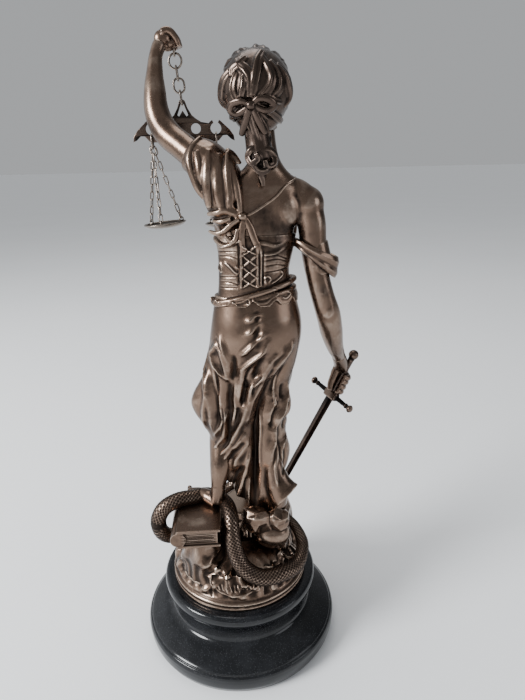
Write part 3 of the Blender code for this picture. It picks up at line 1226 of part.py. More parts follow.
def end_hook(side):
    """The lowest inside point of the beam's end hole on one side (+1 is the raised arm's side)."""
    return beam_centre() + Vector((side * END_HOLE_OFFSET, 0, BEAM_HOLE_HEIGHT - END_HOLE_RADIUS))


def pan_down():
    return Vector((-math.sin(CHAIN_LEAN), 0, -math.cos(CHAIN_LEAN)))


def gather_half_height():
    strip = BEAM_HOLE_HEIGHT - END_HOLE_RADIUS
    return (strip + GATHER_DROP) / 2 + HANG_WIRE


def gather_centre(side):
    return end_hook(side) + Vector((0, 0, LINK_SLACK + HANG_WIRE - gather_half_height()))


def pan_centre(side):
    """The middle of the pan's rim plane."""
    top = gather_centre(side) - Vector((0, 0, gather_half_height()))
    return top + pan_down() * CHAIN_DROP


def pan_eye(side, order):
    """The middle of one of a pan's three rim eyes."""
    down = pan_down()
    angle = math.radians(85 + 120 * order)
    spread = Matrix.Rotation(-CHAIN_LEAN, 3, "Y").inverted() @ Vector((math.cos(angle), math.sin(angle), 0))
    return pan_centre(side) + spread * (PAN_RADIUS - PAN_WALL - PAN_EYE_RADIUS) - down * PAN_EYE_RADIUS


def make_pan(side, name, parts, steel):
    """A shallow dish with three wire eyes standing on its rim."""
    inner = PAN_RADIUS - PAN_WALL
    profile = ((0, 0, -PAN_DEPTH + PAN_WALL), (inner * 0.72, 0, -PAN_DEPTH + PAN_WALL), (inner - 0.0004, 0, 0),
               (PAN_RADIUS, 0, 0), (PAN_RADIUS, 0, -PAN_WALL), (PAN_RADIUS - 0.0010, 0, -PAN_WALL - 0.0006),
               (inner * 0.74, 0, -PAN_DEPTH), (0, 0, -PAN_DEPTH))
    dish = turned("dish", profile, PAN_STEPS)
    dish.transform(Matrix.Rotation(CHAIN_LEAN, 4, "Y"))
    dish.transform(Matrix.Translation(pan_centre(side)))
    meshes = [dish]
    for order in range(3):
        centre = pan_eye(side, order)
        radial = centre - pan_centre(side)
        meshes.append(small_link(centre + pan_down() * PAN_EYE_SINK, PAN_EYE_RADIUS, PAN_EYE_RADIUS, CHAIN_WIRE,
                                 -pan_down(), radial.cross(UPWARD)))
    add_object(name, smooth_shaded(joined(meshes)), parts, steel)


def turned(name, profile, steps):
    """A solid of revolution about Z; the profile runs down its outer side from axis to axis."""
    mesh = bpy.data.meshes.new(name)
    edges = [(i, i + 1) for i in range(len(profile) - 1)]
    mesh.from_pydata(profile, edges, [])
    holder = bpy.data.objects.new(name, mesh)
    bpy.context.scene.collection.objects.link(holder)
    screw = holder.modifiers.new("turn", "SCREW")
    screw.steps = steps
    screw.render_steps = steps
    screw.use_merge_vertices = True
    screw.merge_threshold = 0.00001
    solid = welded(take_mesh(holder))
    bpy.data.meshes.remove(mesh)
    return solid


def make_chain(side, order, name, parts, steel):
    """One fine chain from the gathering link down to a pan eye, its links just touching."""
    low_point = gather_centre(side) - Vector((0, 0, gather_half_height()))
    start = low_point + BACKWARD * ((1 - order) * CHAIN_SPACING)
    if order != 1:
        bow = GATHER_HALF_WIDTH - HANG_WIRE - LINK_SLACK
        start.z += bow - math.sqrt(bow ** 2 - (CHAIN_SPACING + CHAIN_WIRE) ** 2)
    start.z += HANG_WIRE + LINK_SLACK + CHAIN_WIRE
    eye_top = pan_eye(side, order) + pan_down() * PAN_EYE_SINK - pan_down() * PAN_EYE_RADIUS
    end = eye_top + pan_down() * (2 * CHAIN_WIRE + LINK_SLACK)
    along = end - start
    down = along.normalized()
    touch = 2 * CHAIN_WIRE - CHAIN_BITE
    half = (along.length + (CHAIN_LINKS - 1) * touch) / (2 * CHAIN_LINKS)
    first_normal = BACKWARD
    radial = pan_eye(side, order) - pan_centre(side)
    last_normal = radial - down * radial.dot(down)
    last_normal.normalize()
    square = (first_normal - down * first_normal.dot(down)).normalized()
    twist = math.atan2(square.cross(last_normal).dot(down), square.dot(last_normal))
    quarter = math.pi / 2 * (CHAIN_LINKS - 1)
    turns = quarter + ((twist - quarter + math.pi / 2) % math.pi - math.pi / 2)
    meshes = []
    for link in range(CHAIN_LINKS):
        centre = start + down * (half + link * (2 * half - touch))
        turn = Matrix.Rotation(turns * link / (CHAIN_LINKS - 1), 3, down)
        width = CHAIN_HALF_WIDTH if link else HANG_WIRE + CHAIN_WIRE + 2 * LINK_SLACK
        meshes.append(small_link(centre, width, half, CHAIN_WIRE, -down, turn @ square))
    add_object(name, smooth_shaded(joined(meshes)), parts, steel)


def make_balance(parts, steel, dark):
    make_hanging_rings(parts, steel)
    make_beam(parts, dark)
    for side, word in ((1, "left"), (-1, "right")):
        centre = gather_centre(side)
        mesh = wire_ring(centre, GATHER_HALF_WIDTH, gather_half_height(), HANG_WIRE, UPWARD, ACROSS)
        add_object(f"gather_link_{word}", smooth_shaded(mesh), parts, steel)
        make_pan(side, f"pan_{word}", parts, steel)
        for order in range(3):
            make_chain(side, order, f"chain_{word}_{order + 1}", parts, steel)


def make_plinth(parts, stone):
    """The turned plinth: a wide foot disc, a hollow neck and a rounded cap."""
    cap = MOUND_RADIUS + CAP_LEDGE
    neck = cap - NECK_INSET
    foot = cap + FOOT_SPREAD
    top = PLINTH_HEIGHT
    cap_low = top - CAP_THICKNESS
    rim = FOOT_THICKNESS
    shoulder = rim + FOOT_SLOPE_RISE
    profile = [(0, top), (cap - 0.0032, top), (cap - 0.0012, top - 0.0008), (cap - 0.0002, top - 0.0024),
               (cap, top - 0.0048), (cap - 0.0006, top - 0.0074), (cap - 0.0022, top - 0.0098),
               (neck, cap_low - 0.0010)]
    hollow_low = shoulder + 0.0010
    profile += [(neck + 0.0004, hollow_low + 0.0032), (neck + 0.0040, shoulder), (foot - RIM_STEP, rim),
                (foot - RIM_STEP, rim - 0.0008), (foot - 0.0010, rim - 0.0013), (foot, rim - 0.0056),
                (foot - 0.0006, rim - 0.0108), (foot - RIM_STEP - 0.0006, 0), (0, 0)]
    mesh = turned("plinth", [(radius, 0, z) for radius, z in profile], PLINTH_STEPS)
    add_object("plinth", smooth_shaded(mesh, math.radians(50)), parts, stone)


def section_ring(centre, wide, thin, half_wide, half_thin, power, count=12):
    """One oval or lozenge section of the sword."""
    ring = []
    for step in range(count):
        angle = 2 * math.pi * step / count
        cosine, sine = math.cos(angle), math.sin(angle)
        scale = (abs(cosine) ** power + abs(sine) ** power) ** (-1 / power)
        ring.append(centre + wide * (half_wide * scale * cosine) + thin * (half_thin * scale * sine))
    return ring


def lofted(rings):
    body = bmesh.new()
    skin_rings(body, rings)
    bmesh.ops.recalc_face_normals(body, faces=body.faces)
    mesh = bpy.data.meshes.new("loft")
    body.to_mesh(mesh)
    body.free()
    return mesh


def make_sword(parts, iron):
    """The sword: ball pommel, round grip, knobbed guard with a square block, and a lozenge blade."""
    guard, axis = sword_axis()
    wide = Vector(GUARD_DIRECTION)
    wide = (wide - axis * wide.dot(axis)).normalized()
    thin = axis.cross(wide)
    pommel = guard + axis * (GRIP_LENGTH + POMMEL_RADIUS * 0.8)
    hilt = []
    for angle in (12, 40, 65, 90, 115, 138):
        turn = math.radians(angle)
        radius = POMMEL_RADIUS * math.sin(turn)
        hilt.append(section_ring(pommel + axis * (POMMEL_RADIUS * math.cos(turn)), wide, thin, radius, radius, 2))
    for share, swell in ((0.93, 1.0), (0.5, 1.0), (0.1, 1.0), (0.0, 1.0)):
        radius = GRIP_RADIUS * swell
        hilt.append(section_ring(guard + axis * (GRIP_LENGTH * share), wide, thin, radius, radius, 2))
    blade = [section_ring(guard, wide, thin, GRIP_RADIUS * 0.9, BLADE_THICKNESS / 2, 2)]
    for share, width in ((0.02, 1.0), (0.5, 0.92), (0.9, 0.8), (0.965, 0.45), (0.995, 0.08)):
        centre = guard - axis * (BLADE_LENGTH * share)
        blade.append(section_ring(centre, wide, thin, BLADE_WIDTH / 2 * width, BLADE_THICKNESS / 2 * width ** 0.5, 1.2))
    half = GUARD_SPAN / 2
    cross = []
    for share, swell in ((-1.0, 0.5), (-0.97, 1.1), (-0.9, 1.35), (-0.82, 1.1), (-0.79, 0.75), (-0.3, 0.95),
                         (-0.22, 1.5), (0.22, 1.5), (0.3, 0.95), (0.79, 0.75), (0.82, 1.1), (0.9, 1.35), (0.97, 1.1),
                         (1.0, 0.5)):
        radius = GUARD_RADIUS * swell
        cross.append(section_ring(guard + wide * (half * share), axis, thin, radius * 1.1, radius, 2.6, 10))
    mesh = joined([lofted(hilt + blade[1:]), lofted(cross)])
    add_object("sword", smooth_shaded(mesh), parts, iron)


def main():
    clear_scene()
    parts = make_collection("lady_justice_statue")
    cutters = make_collection("cutters")
    bronze = make_material("bronze", (0.30, 0.20, 0.13), 0.32, 1.0)
    steel = make_material("chain_metal", (0.42, 0.38, 0.32), 0.35, 1.0)
    dark = make_material("beam_metal", (0.14, 0.11, 0.09), 0.45, 1.0)
    stone = make_material("black_stone", (0.02, 0.02, 0.024), 0.2, 0.0)
    make_plinth(parts, stone)
    make_figure(parts, cutters, bronze)
    make_sword(parts, dark)
    make_eye(parts, steel)
    make_balance(parts, steel, dark)


main()
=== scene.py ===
"""Lady justice statue: the looks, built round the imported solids."""

import math

import bmesh
import bpy
import numpy as np
from mathutils import Euler, Matrix, Vector, noise


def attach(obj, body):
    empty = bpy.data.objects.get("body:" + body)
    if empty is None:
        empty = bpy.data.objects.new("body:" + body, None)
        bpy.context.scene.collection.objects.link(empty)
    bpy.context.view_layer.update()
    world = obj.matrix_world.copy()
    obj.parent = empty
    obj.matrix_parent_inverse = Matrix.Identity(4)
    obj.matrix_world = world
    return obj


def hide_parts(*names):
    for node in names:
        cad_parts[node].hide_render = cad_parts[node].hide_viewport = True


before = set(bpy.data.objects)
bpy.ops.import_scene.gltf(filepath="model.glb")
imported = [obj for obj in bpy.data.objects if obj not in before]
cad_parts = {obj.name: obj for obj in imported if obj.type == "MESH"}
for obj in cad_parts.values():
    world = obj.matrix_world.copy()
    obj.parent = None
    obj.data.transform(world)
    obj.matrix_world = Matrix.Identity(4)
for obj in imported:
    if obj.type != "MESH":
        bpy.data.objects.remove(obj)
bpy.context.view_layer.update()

# Driving dimensions, in metres.
FIGURE_HEIGHT = 0.337
SEAT_GAP = 0.0003
MOUND_RADIUS = 0.048
PLINTH_HEIGHT = 0.0473
CAP_LEDGE = 0.0067
CAP_THICKNESS = 0.0125
NECK_INSET = 0.0052
FOOT_SPREAD = 0.0143
FOOT_THICKNESS = 0.015
FOOT_SLOPE_RISE = 0.0067
RIM_STEP = 0.0020

HANG_WIRE = 0.00065
HANG_RING_RADIUS = 0.0042
HANG_LINK_RADIUS = 0.0042
HANG_LINK_WIDTH = 0.0024
LINK_SLACK = 0.0003
EYE_RADIUS = 0.0018
EYE_LIFT = 0.0018
EYE_DEPTH = 0.0035

BEAM_HALF_SPAN = 0.0320
BEAM_THICKNESS = 0.0016
BEAM_RISE = 0.0246
BEAM_BEVEL = 0.00022
BEAM_FINENESS = 3
BEAM_EYE_STRIP = 0.0022
BEAM_CROWN_RADIUS = 0.0012
BEAM_HOLE_HEIGHT = 0.0078
BEAM_HOLE_OFFSET = 0.0077
BEAM_HOLE_RADIUS = 0.0031
END_HOLE_OFFSET = 0.0203
END_HOLE_RADIUS = 0.0034
END_HOLE_WALL = 0.0019
GATHER_HALF_WIDTH = 0.0031
GATHER_DROP = 0.0034
PAN_RADIUS = 0.0141
PAN_DEPTH = 0.0034
PAN_WALL = 0.0010
PAN_EYE_RADIUS = 0.0013
PAN_EYE_SINK = 0.0004
CHAIN_DROP = 0.0460
CHAIN_LINKS = 10
CHAIN_WIRE = 0.00040
CHAIN_HALF_WIDTH = 0.00105
CHAIN_SPACING = 0.0012
CHAIN_BITE = 0.00008
CHAIN_LEAN = math.radians(5.0)

GRIP_RADIUS = 0.0023
GRIP_LENGTH = 0.0310
POMMEL_RADIUS = 0.0036
GUARD_DIRECTION = (-0.49, 0.81, -0.32)
GUARD_SPAN = 0.0430
GUARD_RADIUS = 0.0019
BLADE_LENGTH = 0.0960
BLADE_WIDTH = 0.0070
BLADE_THICKNESS = 0.0024


# The pose is drawn in units of a 337th of the figure's height, with the seat at 47.6.
DRAWN_HEIGHT = 337.0
DRAWN_SEAT = 47.6
UNIT = FIGURE_HEIGHT / DRAWN_HEIGHT
SEAT = PLINTH_HEIGHT + SEAT_GAP

BACK = 1
FRONT = -1


def at(x, y, z):
    """A point of the drawn pose, in the statue's own frame."""
    return Vector((x * UNIT, y * UNIT, (z - DRAWN_SEAT) * UNIT + SEAT))


def evaluated_mesh(obj):
    """A new mesh of the object with its modifiers applied, in world space."""
    bpy.context.view_layer.update()
    graph = bpy.context.evaluated_depsgraph_get()
    mesh = bpy.data.meshes.new_from_object(obj.evaluated_get(graph))
    mesh.transform(obj.matrix_world)
    return mesh


def take_mesh(obj):
    """The object's evaluated mesh; the object itself is removed."""
    mesh = evaluated_mesh(obj)
    bpy.data.objects.remove(obj, do_unlink=True)
    return mesh


def smooth_shaded(mesh, angle=math.radians(40)):
    mesh.shade_smooth()
    mesh.set_sharp_from_angle(angle=angle)
    return mesh


def curve_mesh(points, radii, resolution, sides, cyclic=False, curve_type="BEZIER"):
    """A round bar through the points, with a radius at each, as a closed mesh."""
    curve = bpy.data.curves.new("bar", "CURVE")
    curve.dimensions = "3D"
    curve.resolution_u = resolution
    curve.bevel_depth = 1.0
    curve.bevel_resolution = max(0, sides // 2 - 2)
    curve.use_fill_caps = not cyclic
    spline = curve.splines.new(curve_type)
    if curve_type == "BEZIER":
        spline.bezier_points.add(len(points) - 1)
        for knot, point, radius in zip(spline.bezier_points, points, radii):
            knot.co = point
            knot.radius = radius
            knot.handle_left_type = "AUTO"
            knot.handle_right_type = "AUTO"
    else:
        spline.points.add(len(points) - 1)
        for knot, point, radius in zip(spline.points, points, radii):
            knot.co = (*point, 1.0)
            knot.radius = radius
    spline.use_cyclic_u = cyclic
    holder = bpy.data.objects.new("bar", curve)
    bpy.context.scene.collection.objects.link(holder)
    mesh = take_mesh(holder)
    bpy.data.curves.remove(curve)
    return mesh



# Clay forms: each adds one closed shape to a shared lump, which is remeshed as one casting.


def ball(clay, centre, radii, turn=(0, 0, 0)):
    """An ellipsoid at a drawn point; its radii are in drawn units and its turn in degrees."""
    rotation = Euler([math.radians(angle) for angle in turn])
    matrix = Matrix.LocRotScale(at(*centre), rotation, Vector(radii) * UNIT)
    bmesh.ops.create_icosphere(clay, subdivisions=4, radius=1.0, matrix=matrix)


def rod(clay, *knots, sides=24, resolution=8):
    """A tapering round limb through (x, y, z, radius) knots in drawn units."""
    points = [at(*knot[:3]) for knot in knots]
    radii = [knot[3] * UNIT for knot in knots]
    mesh = curve_mesh(points, radii, resolution, sides)
    clay.from_mesh(mesh)
    bpy.data.meshes.remove(mesh)


def block(clay, centre, size, turn=(0, 0, 0)):
    """A box at a drawn point, turned by degrees."""
    rotation = Euler([math.radians(angle) for angle in turn])
    matrix = Matrix.LocRotScale(at(*centre), rotation, Vector(size) * UNIT)
    bmesh.ops.create_cube(clay, size=1.0, matrix=matrix)


def skin_rings(clay, rings):
    """A closed loft over rings of points, all with the same count."""
    rows = [[clay.verts.new(point) for point in ring] for ring in rings]
    count = len(rows[0])
    for low, high in zip(rows[:-1], rows[1:]):
        for i in range(count):
            j = (i + 1) % count
            clay.faces.new((low[i], low[j], high[j], high[i]))
    clay.faces.new(list(reversed(rows[0])))
    clay.faces.new(rows[-1])


def loft(clay, *sections, count=96):
    """Ovals stacked upwards: each section is (z, centre x, centre y, half x, half y) in drawn units."""
    rings = []
    for z, cx, cy, half_x, half_y in sections:
        ring = []
        for step in range(count):
            angle = 2 * math.pi * step / count
            ring.append(at(cx + half_x * math.cos(angle), cy + half_y * math.sin(angle), z))
        rings.append(ring)
    skin_rings(clay, rings)


def smooth_path(knots, per_span=6):
    """Rows that run smoothly through the knots, carrying every column along."""
    table = np.array(knots, float)
    padded = np.vstack([2 * table[0] - table[1], table, 2 * table[-1] - table[-2]])
    rows = []
    for i in range(len(table) - 1):
        a, b, c, d = padded[i:i + 4]
        for step in range(per_span):
            t = step / per_span
            bend = (2 * a - 5 * b + 4 * c - d) * t * t + (3 * b - a - 3 * c + d) * t ** 3
            rows.append(b + 0.5 * ((c - a) * t + bend))
    rows.append(table[-1])
    return np.array(rows)


def band(clay, hub, wide, thin, *knots, flutes=0, depth=0.0, sides=36, per_span=7):
    """A strip of hair or cloth laid round the hub through (x, y, z) knots, narrowing at its ends."""
    places = smooth_path(knots, per_span)
    tangents = np.gradient(places, axis=0)
    rings = []
    for order, (place, tangent) in enumerate(zip(places, tangents)):
        share = order / (len(places) - 1)
        swell = 0.45 + 0.55 * math.sin(math.pi * (0.08 + 0.84 * share)) ** 0.6
        along = tangent / np.linalg.norm(tangent)
        out = place - np.array(hub)
        out -= along * out.dot(along)
        out /= np.linalg.norm(out)
        side = np.cross(along, out)
        ring = []
        for step in range(sides):
            angle = 2 * math.pi * step / sides
            reach = swell * (1 + depth * math.cos(flutes * angle))
            spoke = side * (wide * reach * math.cos(angle)) + out * (thin * (reach * math.sin(angle) - 0.5))
            ring.append(at(*(place + spoke)))
        rings.append(ring)
    skin_rings(clay, rings)


def hoop(clay, sections):
    """A closed ring through sections that all have the same count of points."""
    rows = [[clay.verts.new(point) for point in section] for section in sections]
    count = len(rows[0])
    for here, there in zip(rows, rows[1:] + rows[:1]):
        for i in range(count):
            j = (i + 1) % count
            clay.faces.new((here[i], here[j], there[j], there[i]))


# The body and the parts of its dress.


def torso(clay):
    stations = (
        (238, -16, 2, 25, 15),
        (250, -16, 1.5, 22, 13.2),
        (258, -15.8, 1, 20.8, 12.4),
        (266, -15.8, 0.5, 20.6, 12.2),
        (276, -17, 0, 21.8, 12.8),
        (286, -17, -0.5, 23.4, 13.6),
        (296, -16.5, -0.5, 24.6, 13.4),
        (305, -18, 0, 27.5, 12.6),
        (312, -20, 0.5, 26.5, 11.4),
        (318, -21.5, 0.5, 19.5, 10.2),
        (323, -23, 1, 12.6, 9.4),
        (330, -23.4, 0.5, 8.2, 8.2),
        (340, -22.6, 0.0, 7.3, 7.8),
        (352, -21.8, -1, 7.4, 8.2),
    )
    loft(clay, *smooth_path(stations, 5))
    ball(clay, (-7.5, -10.5, 292.5), (9.6, 8.6, 9.6))
    ball(clay, (-26.5, -10.5, 291.5), (9.6, 8.6, 9.6))
    ball(clay, (-33.5, 2.6, 302), (11, 8.8, 14), (0, 12, 0))
    ball(clay, (-6, 3.4, 303), (11, 9.0, 14), (0, -12, 0))


def bodice(clay):
    """The gathered cloth across the chest, from under the right arm up to the raised shoulder."""
    for order in range(6):
        t = order / 5.0
        rod(clay, (-41.5, -4 + 2 * t, 287 + 7 * t, 2.0), (-33, -15.2 + 2.5 * t, 285.5 + 9.5 * t, 2.6),
            (-25.5, -17.4 + 4.0 * t, 286.0 + 11.5 * t, 2.6), (-16.5, -13.6 + 0.5 * t, 287 + 13.5 * t, 2.4),
            (-7.5, -17.4 + 3.2 * t, 288 + 17.0 * t, 2.7), (2.0, -13.2 - 0.4 * t, 292 + 22.0 * t, 2.5),
            (8.5 + 2.0 * t, -7.6 - 3.0 * t, 302 + 26.0 * t, 2.2))


def right_arm(clay):
    ball(clay, (-48.5, 0, 303), (10, 9.6, 10.5))
    rod(clay, (-34, 0, 313, 7), (-44, 0, 308, 8.6), (-50, 0.5, 296, 8.8), (-52, 1, 280, 8.2), (-54.5, 2, 262, 7.3),
        (-58, 2.5, 248, 7.4), (-62, 1, 236, 7.9), (-65.5, -5, 223, 7.6), (-70, -14, 209, 6.0),
        (-75, -24, 198, 4.7), (-78, -31, 190, 4.8))
    ball(clay, (-61, 6, 238.5), (4.6, 4.4, 5.4))


SWORD_GUARD = (-72.5, -33, 164.7)
SWORD_POMMEL = (-88.2, -33, 195.4)


def sword_axis():
    guard = at(*SWORD_GUARD)
    return guard, (at(*SWORD_POMMEL) - guard).normalized()


def grip_point(along, angle, radius):
    """A point round the grip in drawn units: angle 0 is the outer side and 90 the side seen from behind."""
    guard = Vector(SWORD_GUARD)
    axis = (Vector(SWORD_POMMEL) - guard).normalized()
    back = Vector((0, 1, 0))
    outer = axis.cross(back).normalized()
    if outer.x > 0:
        outer = -outer
    turn = math.radians(angle)
    return guard + axis * along + (outer * math.cos(turn) + back * math.sin(turn)) * radius


def right_hand(clay):
    """A fist round the grip, palm towards the back."""
    rod(clay, (-75, -24, 198, 4.8), (-78.5, -32, 189, 5.2), (-80, -37.5, 181, 5.6), (-78, -38.5, 174, 5.0))
    for order, along in enumerate((5.2, 9.2, 13.2, 17.0)):
        reach = 4.9 - 0.15 * order
        knots = []
        for angle, radius in ((-115, 2.6), (-60, 2.5), (-5, 2.4), (45, 2.2), (88, 1.9)):
            knots.append((*grip_point(along + 0.5 * (angle < -50), angle, reach), radius))
        rod(clay, *knots)
    thumb = [grip_point(20, 190, 5.6), grip_point(13, 175, 5.4), grip_point(7, 160, 5.2), grip_point(3.4, 140, 5.0)]
    rod(clay, *[(*point, radius) for point, radius in zip(thumb, (3.4, 2.9, 2.5, 1.9))])
    ball(clay, (-78, -37, 176), (4.8, 3.6, 8.5), (0, 27, 0))


def left_arm(clay):
    rod(clay, (-6, 1, 312, 9), (3, -1, 319, 9.6), (12, -6, 327, 8.6), (23, -14, 336, 8.2), (33, -21, 345, 8.2),
        (37.8, -25, 355, 7.6), (38.6, -28.5, 368, 6.6), (38.2, -32.5, 379, 5.0), (37.2, -36, 388, 4.1),
        (34.5, -39, 395, 4.4))


HANG_POINT = (27.0, -43.7, 388.6)


def left_hand(clay):
    """A hand bent over at the wrist, its closed fingers holding the eye of the hanging chain."""
    ball(clay, (33.2, -40.3, 397.2), (5.0, 3.4, 5.0), (0, -40, 0))
    for order, (dy, reach) in enumerate(((2.6, 0.0), (0.2, 0.4), (-2.2, 0.3), (-4.2, -0.8))):
        y = -41 + dy
        rod(clay, (33.5, y, 400.2, 2.3), (29.6 - 0.5 * reach, y - 0.3, 401.2 - 0.3 * order, 2.3),
            (25.4 - reach, y - 0.6, 397.6, 2.0), (23.4 - reach, y - 1.0, 392.8, 1.6))
    rod(clay, (34.5, -39, 393.5, 2.6), (30.6, -41.5, 393.0, 2.4), (27.2, -43.2, 393.4, 1.9), (25.2, -43.6, 392.6, 1.5))
    ball(clay, (28.6, -42, 394.8), (4.0, 3.4, 3.0))


def head(clay):
    """A calm, even face under a plain blindfold."""
    ball(clay, (-19.6, -3.5, 365), (14.2, 16.4, 17.6))
    ball(clay, (-19.8, -7.6, 358.0), (12.4, 12.0, 12.5))
    ball(clay, (-19.8, -10.4, 351.4), (8.8, 9.0, 7.4))
    ball(clay, (-19.8, -16.4, 347.2), (3.5, 3.5, 3.0))
    ball(clay, (-13.8, -13.8, 357.0), (4.2, 4.4, 4.2))
    ball(clay, (-25.8, -13.8, 357.0), (4.2, 4.4, 4.2))
    rod(clay, (-19.8, -19.6, 367.0, 1.5), (-19.8, -20.8, 362.0, 1.4), (-19.8, -22.3, 358.4, 1.9),
        (-19.8, -21.6, 357.2, 1.7))
    ball(clay, (-17.7, -20.2, 357.5), (1.5, 1.9, 1.3))
    ball(clay, (-21.9, -20.2, 357.5), (1.5, 1.9, 1.3))
    rod(clay, (-24.6, -16.9, 352.4, 0.6), (-21.8, -19.2, 353.3, 1.25), (-19.8, -19.9, 353.0, 1.05),
        (-17.8, -19.2, 353.3, 1.25), (-15.0, -16.9, 352.4, 0.6))
    rod(clay, (-23.8, -17.0, 351.7, 0.7), (-19.8, -19.3, 350.5, 1.45), (-15.8, -17.0, 351.7, 0.7))
    loft(clay, (359.4, -19.6, -3.4, 15.4, 17.5), (360.4, -19.6, -3.4, 16.2, 18.6), (364.6, -19.6, -3.4, 16.4, 18.9),
         (369.4, -19.6, -3.4, 16.2, 18.4), (370.4, -19.6, -3.4, 15.4, 17.4))


HAIR_CENTRE = (-19.4, 3.8, 363.8)
HAIR_RADII = (17.2, 16.8, 18.2)


CAP_CENTRE = (-19.5, -0.6, 364.6)

CAP_RADII = (16.6, 18.0, 18.2)

# Locks at the back of the head: half width, half thickness, then points along each.
BACK_LOCKS = (
    (3.0, 2.2, (-8.7, 13.6, 377.4), (-10.5, 18.2, 373.4), (-13.3, 20.9, 370.3), (-15.2, 22.2, 366), (-14.4, 21.4, 358)),
    (2.5, 2.2, (-13.7, 16.7, 377.8), (-9.5, 17.2, 374.1), (-6.4, 15.8, 372), (-5.7, 16.7, 368.7)),
    (2.9, 2.2, (-22.2, 14.1, 380.9), (-19.7, 18.8, 376.4), (-18.4, 21.4, 371.5), (-17.2, 22.6, 365.9), (-16, 22, 359)),
    (3.4, 3.0, (-4.9, 14.2, 371.8), (-1.6, 10.9, 367.7), (-0.3, 7.8, 362.4), (-0.6, 5.0, 358), (-4.6, 9.6, 353.7)),
    (2.4, 2.2, (-8.3, 18.3, 370.3), (-6.7, 18, 366.6), (-6, 17.6, 362.1), (-7.4, 17.9, 358.3), (-10.9, 19.2, 355.6)),
    (2.0, 1.8, (-11.8, 20.6, 369), (-11.6, 21.2, 364.3), (-10.5, 20.3, 359.8), (-10.4, 19.0, 356.3)),
    (2.8, 2.2, (-21.8, 17.8, 377.5), (-24.6, 20.2, 372.5), (-26.5, 21.1, 367.8), (-25.4, 21.9, 363.2),
     (-21.2, 22.1, 358.6), (-17, 21.4, 356.4)),
    (2.8, 2.2, (-25.9, 18.1, 375.6), (-29.9, 18.4, 371), (-31.4, 18.7, 366.3), (-30.2, 19.5, 361.6), (-24.4, 20.7, 357)),
    (3.6, 3.1, (-29.5, 17.1, 373.9), (-33.8, 15.6, 369.5), (-36.1, 13.8, 364.1), (-36.9, 11.2, 359.1), (-33.8, 11.6, 354)),
    (2.0, 1.8, (-19.1, 21.7, 356.8), (-23.2, 21.6, 357.7), (-28.6, 19.1, 356.5), (-34.4, 11.6, 356.2)),
    (2.5, 2.1, (-18.1, 20.5, 354.1), (-24.4, 18.1, 351.4), (-30.2, 10.6, 348.6), (-33.0, 4.6, 347.0)),
    (2.5, 2.1, (-17, 19.9, 353.2), (-21.3, 16.5, 348.6), (-26.2, 8.8, 345.5), (-29.4, 3.8, 343.8)),
    (2.4, 2.0, (-12.0, 19.0, 353.0), (-8.4, 14.6, 350.2), (-5.6, 8.6, 349.0), (-5.0, 3.0, 351.6)),
)

NAPE_LOCKS = (
    (2.5, 2.0, (-13.4, 18.4, 351.8), (-12.6, 16.2, 346.0), (-14.2, 14.6, 340.4), (-15.8, 15.6, 334.8)),
    (2.6, 2.0, (-15.8, 19.2, 351.6), (-17.6, 18.0, 346.0), (-19.8, 17.4, 339.6), (-21.4, 17.6, 334.2)),
    (2.4, 2.0, (-18.4, 18.9, 351.4), (-22.6, 15.6, 346.0), (-25.0, 13.4, 340.4), (-23.8, 15.4, 335.2)),
    (2.2, 1.9, (-18.6, 17.6, 335.4), (-14.6, 17.4, 333.0), (-12.9, 16.0, 329.5), (-15.0, 17.6, 325.8), (-18.8, 19.4, 328.0),
     (-17.6, 20.0, 331.2)),
    (2.2, 1.9, (-21.4, 18.2, 333.6), (-25.5, 17.2, 332.8), (-28.6, 15.2, 329.6), (-28.0, 16.4, 325.1),
     (-24.2, 18.6, 323.8), (-22.4, 19.8, 327.7)),
    (2.2, 1.8, (-15.5, 18.2, 325.2), (-18.7, 18.8, 321.6), (-23.1, 18.4, 321.5), (-26.0, 16.8, 324.4)),
    (1.9, 1.6, (-17.8, 17.6, 322.7), (-20.3, 17.8, 318.5), (-21.3, 16.0, 313.9)),
)

TAIL_HUB = (-20.0, 9.0, 331.0)


def hair_point(direction, lift):
    """A point over the skull in a direction, lifted by a share of the skull's radius."""
    unit = Vector(direction).normalized()
    return tuple(CAP_CENTRE[i] + CAP_RADII[i] * unit[i] * (1.0 + lift) for i in range(3))


def combed(clay, start, end, wide, thin, sway, flutes, depth, lift=0.06, steps=6):
    """A lock combed over the skull from one direction to another, waving on its way."""
    first = Vector(start).normalized()
    last = Vector(end).normalized()
    side = first.cross(last).normalized()
    knots = []
    for step in range(steps + 1):
        t = step / steps
        along = first.slerp(last, t) + side * (sway * math.sin(2.4 * math.pi * t) * math.sin(math.pi * t))
        knots.append(hair_point(along, lift + 0.07 * math.sin(math.pi * t)))
    band(clay, CAP_CENTRE, wide, thin, *knots, flutes=flutes, depth=depth)


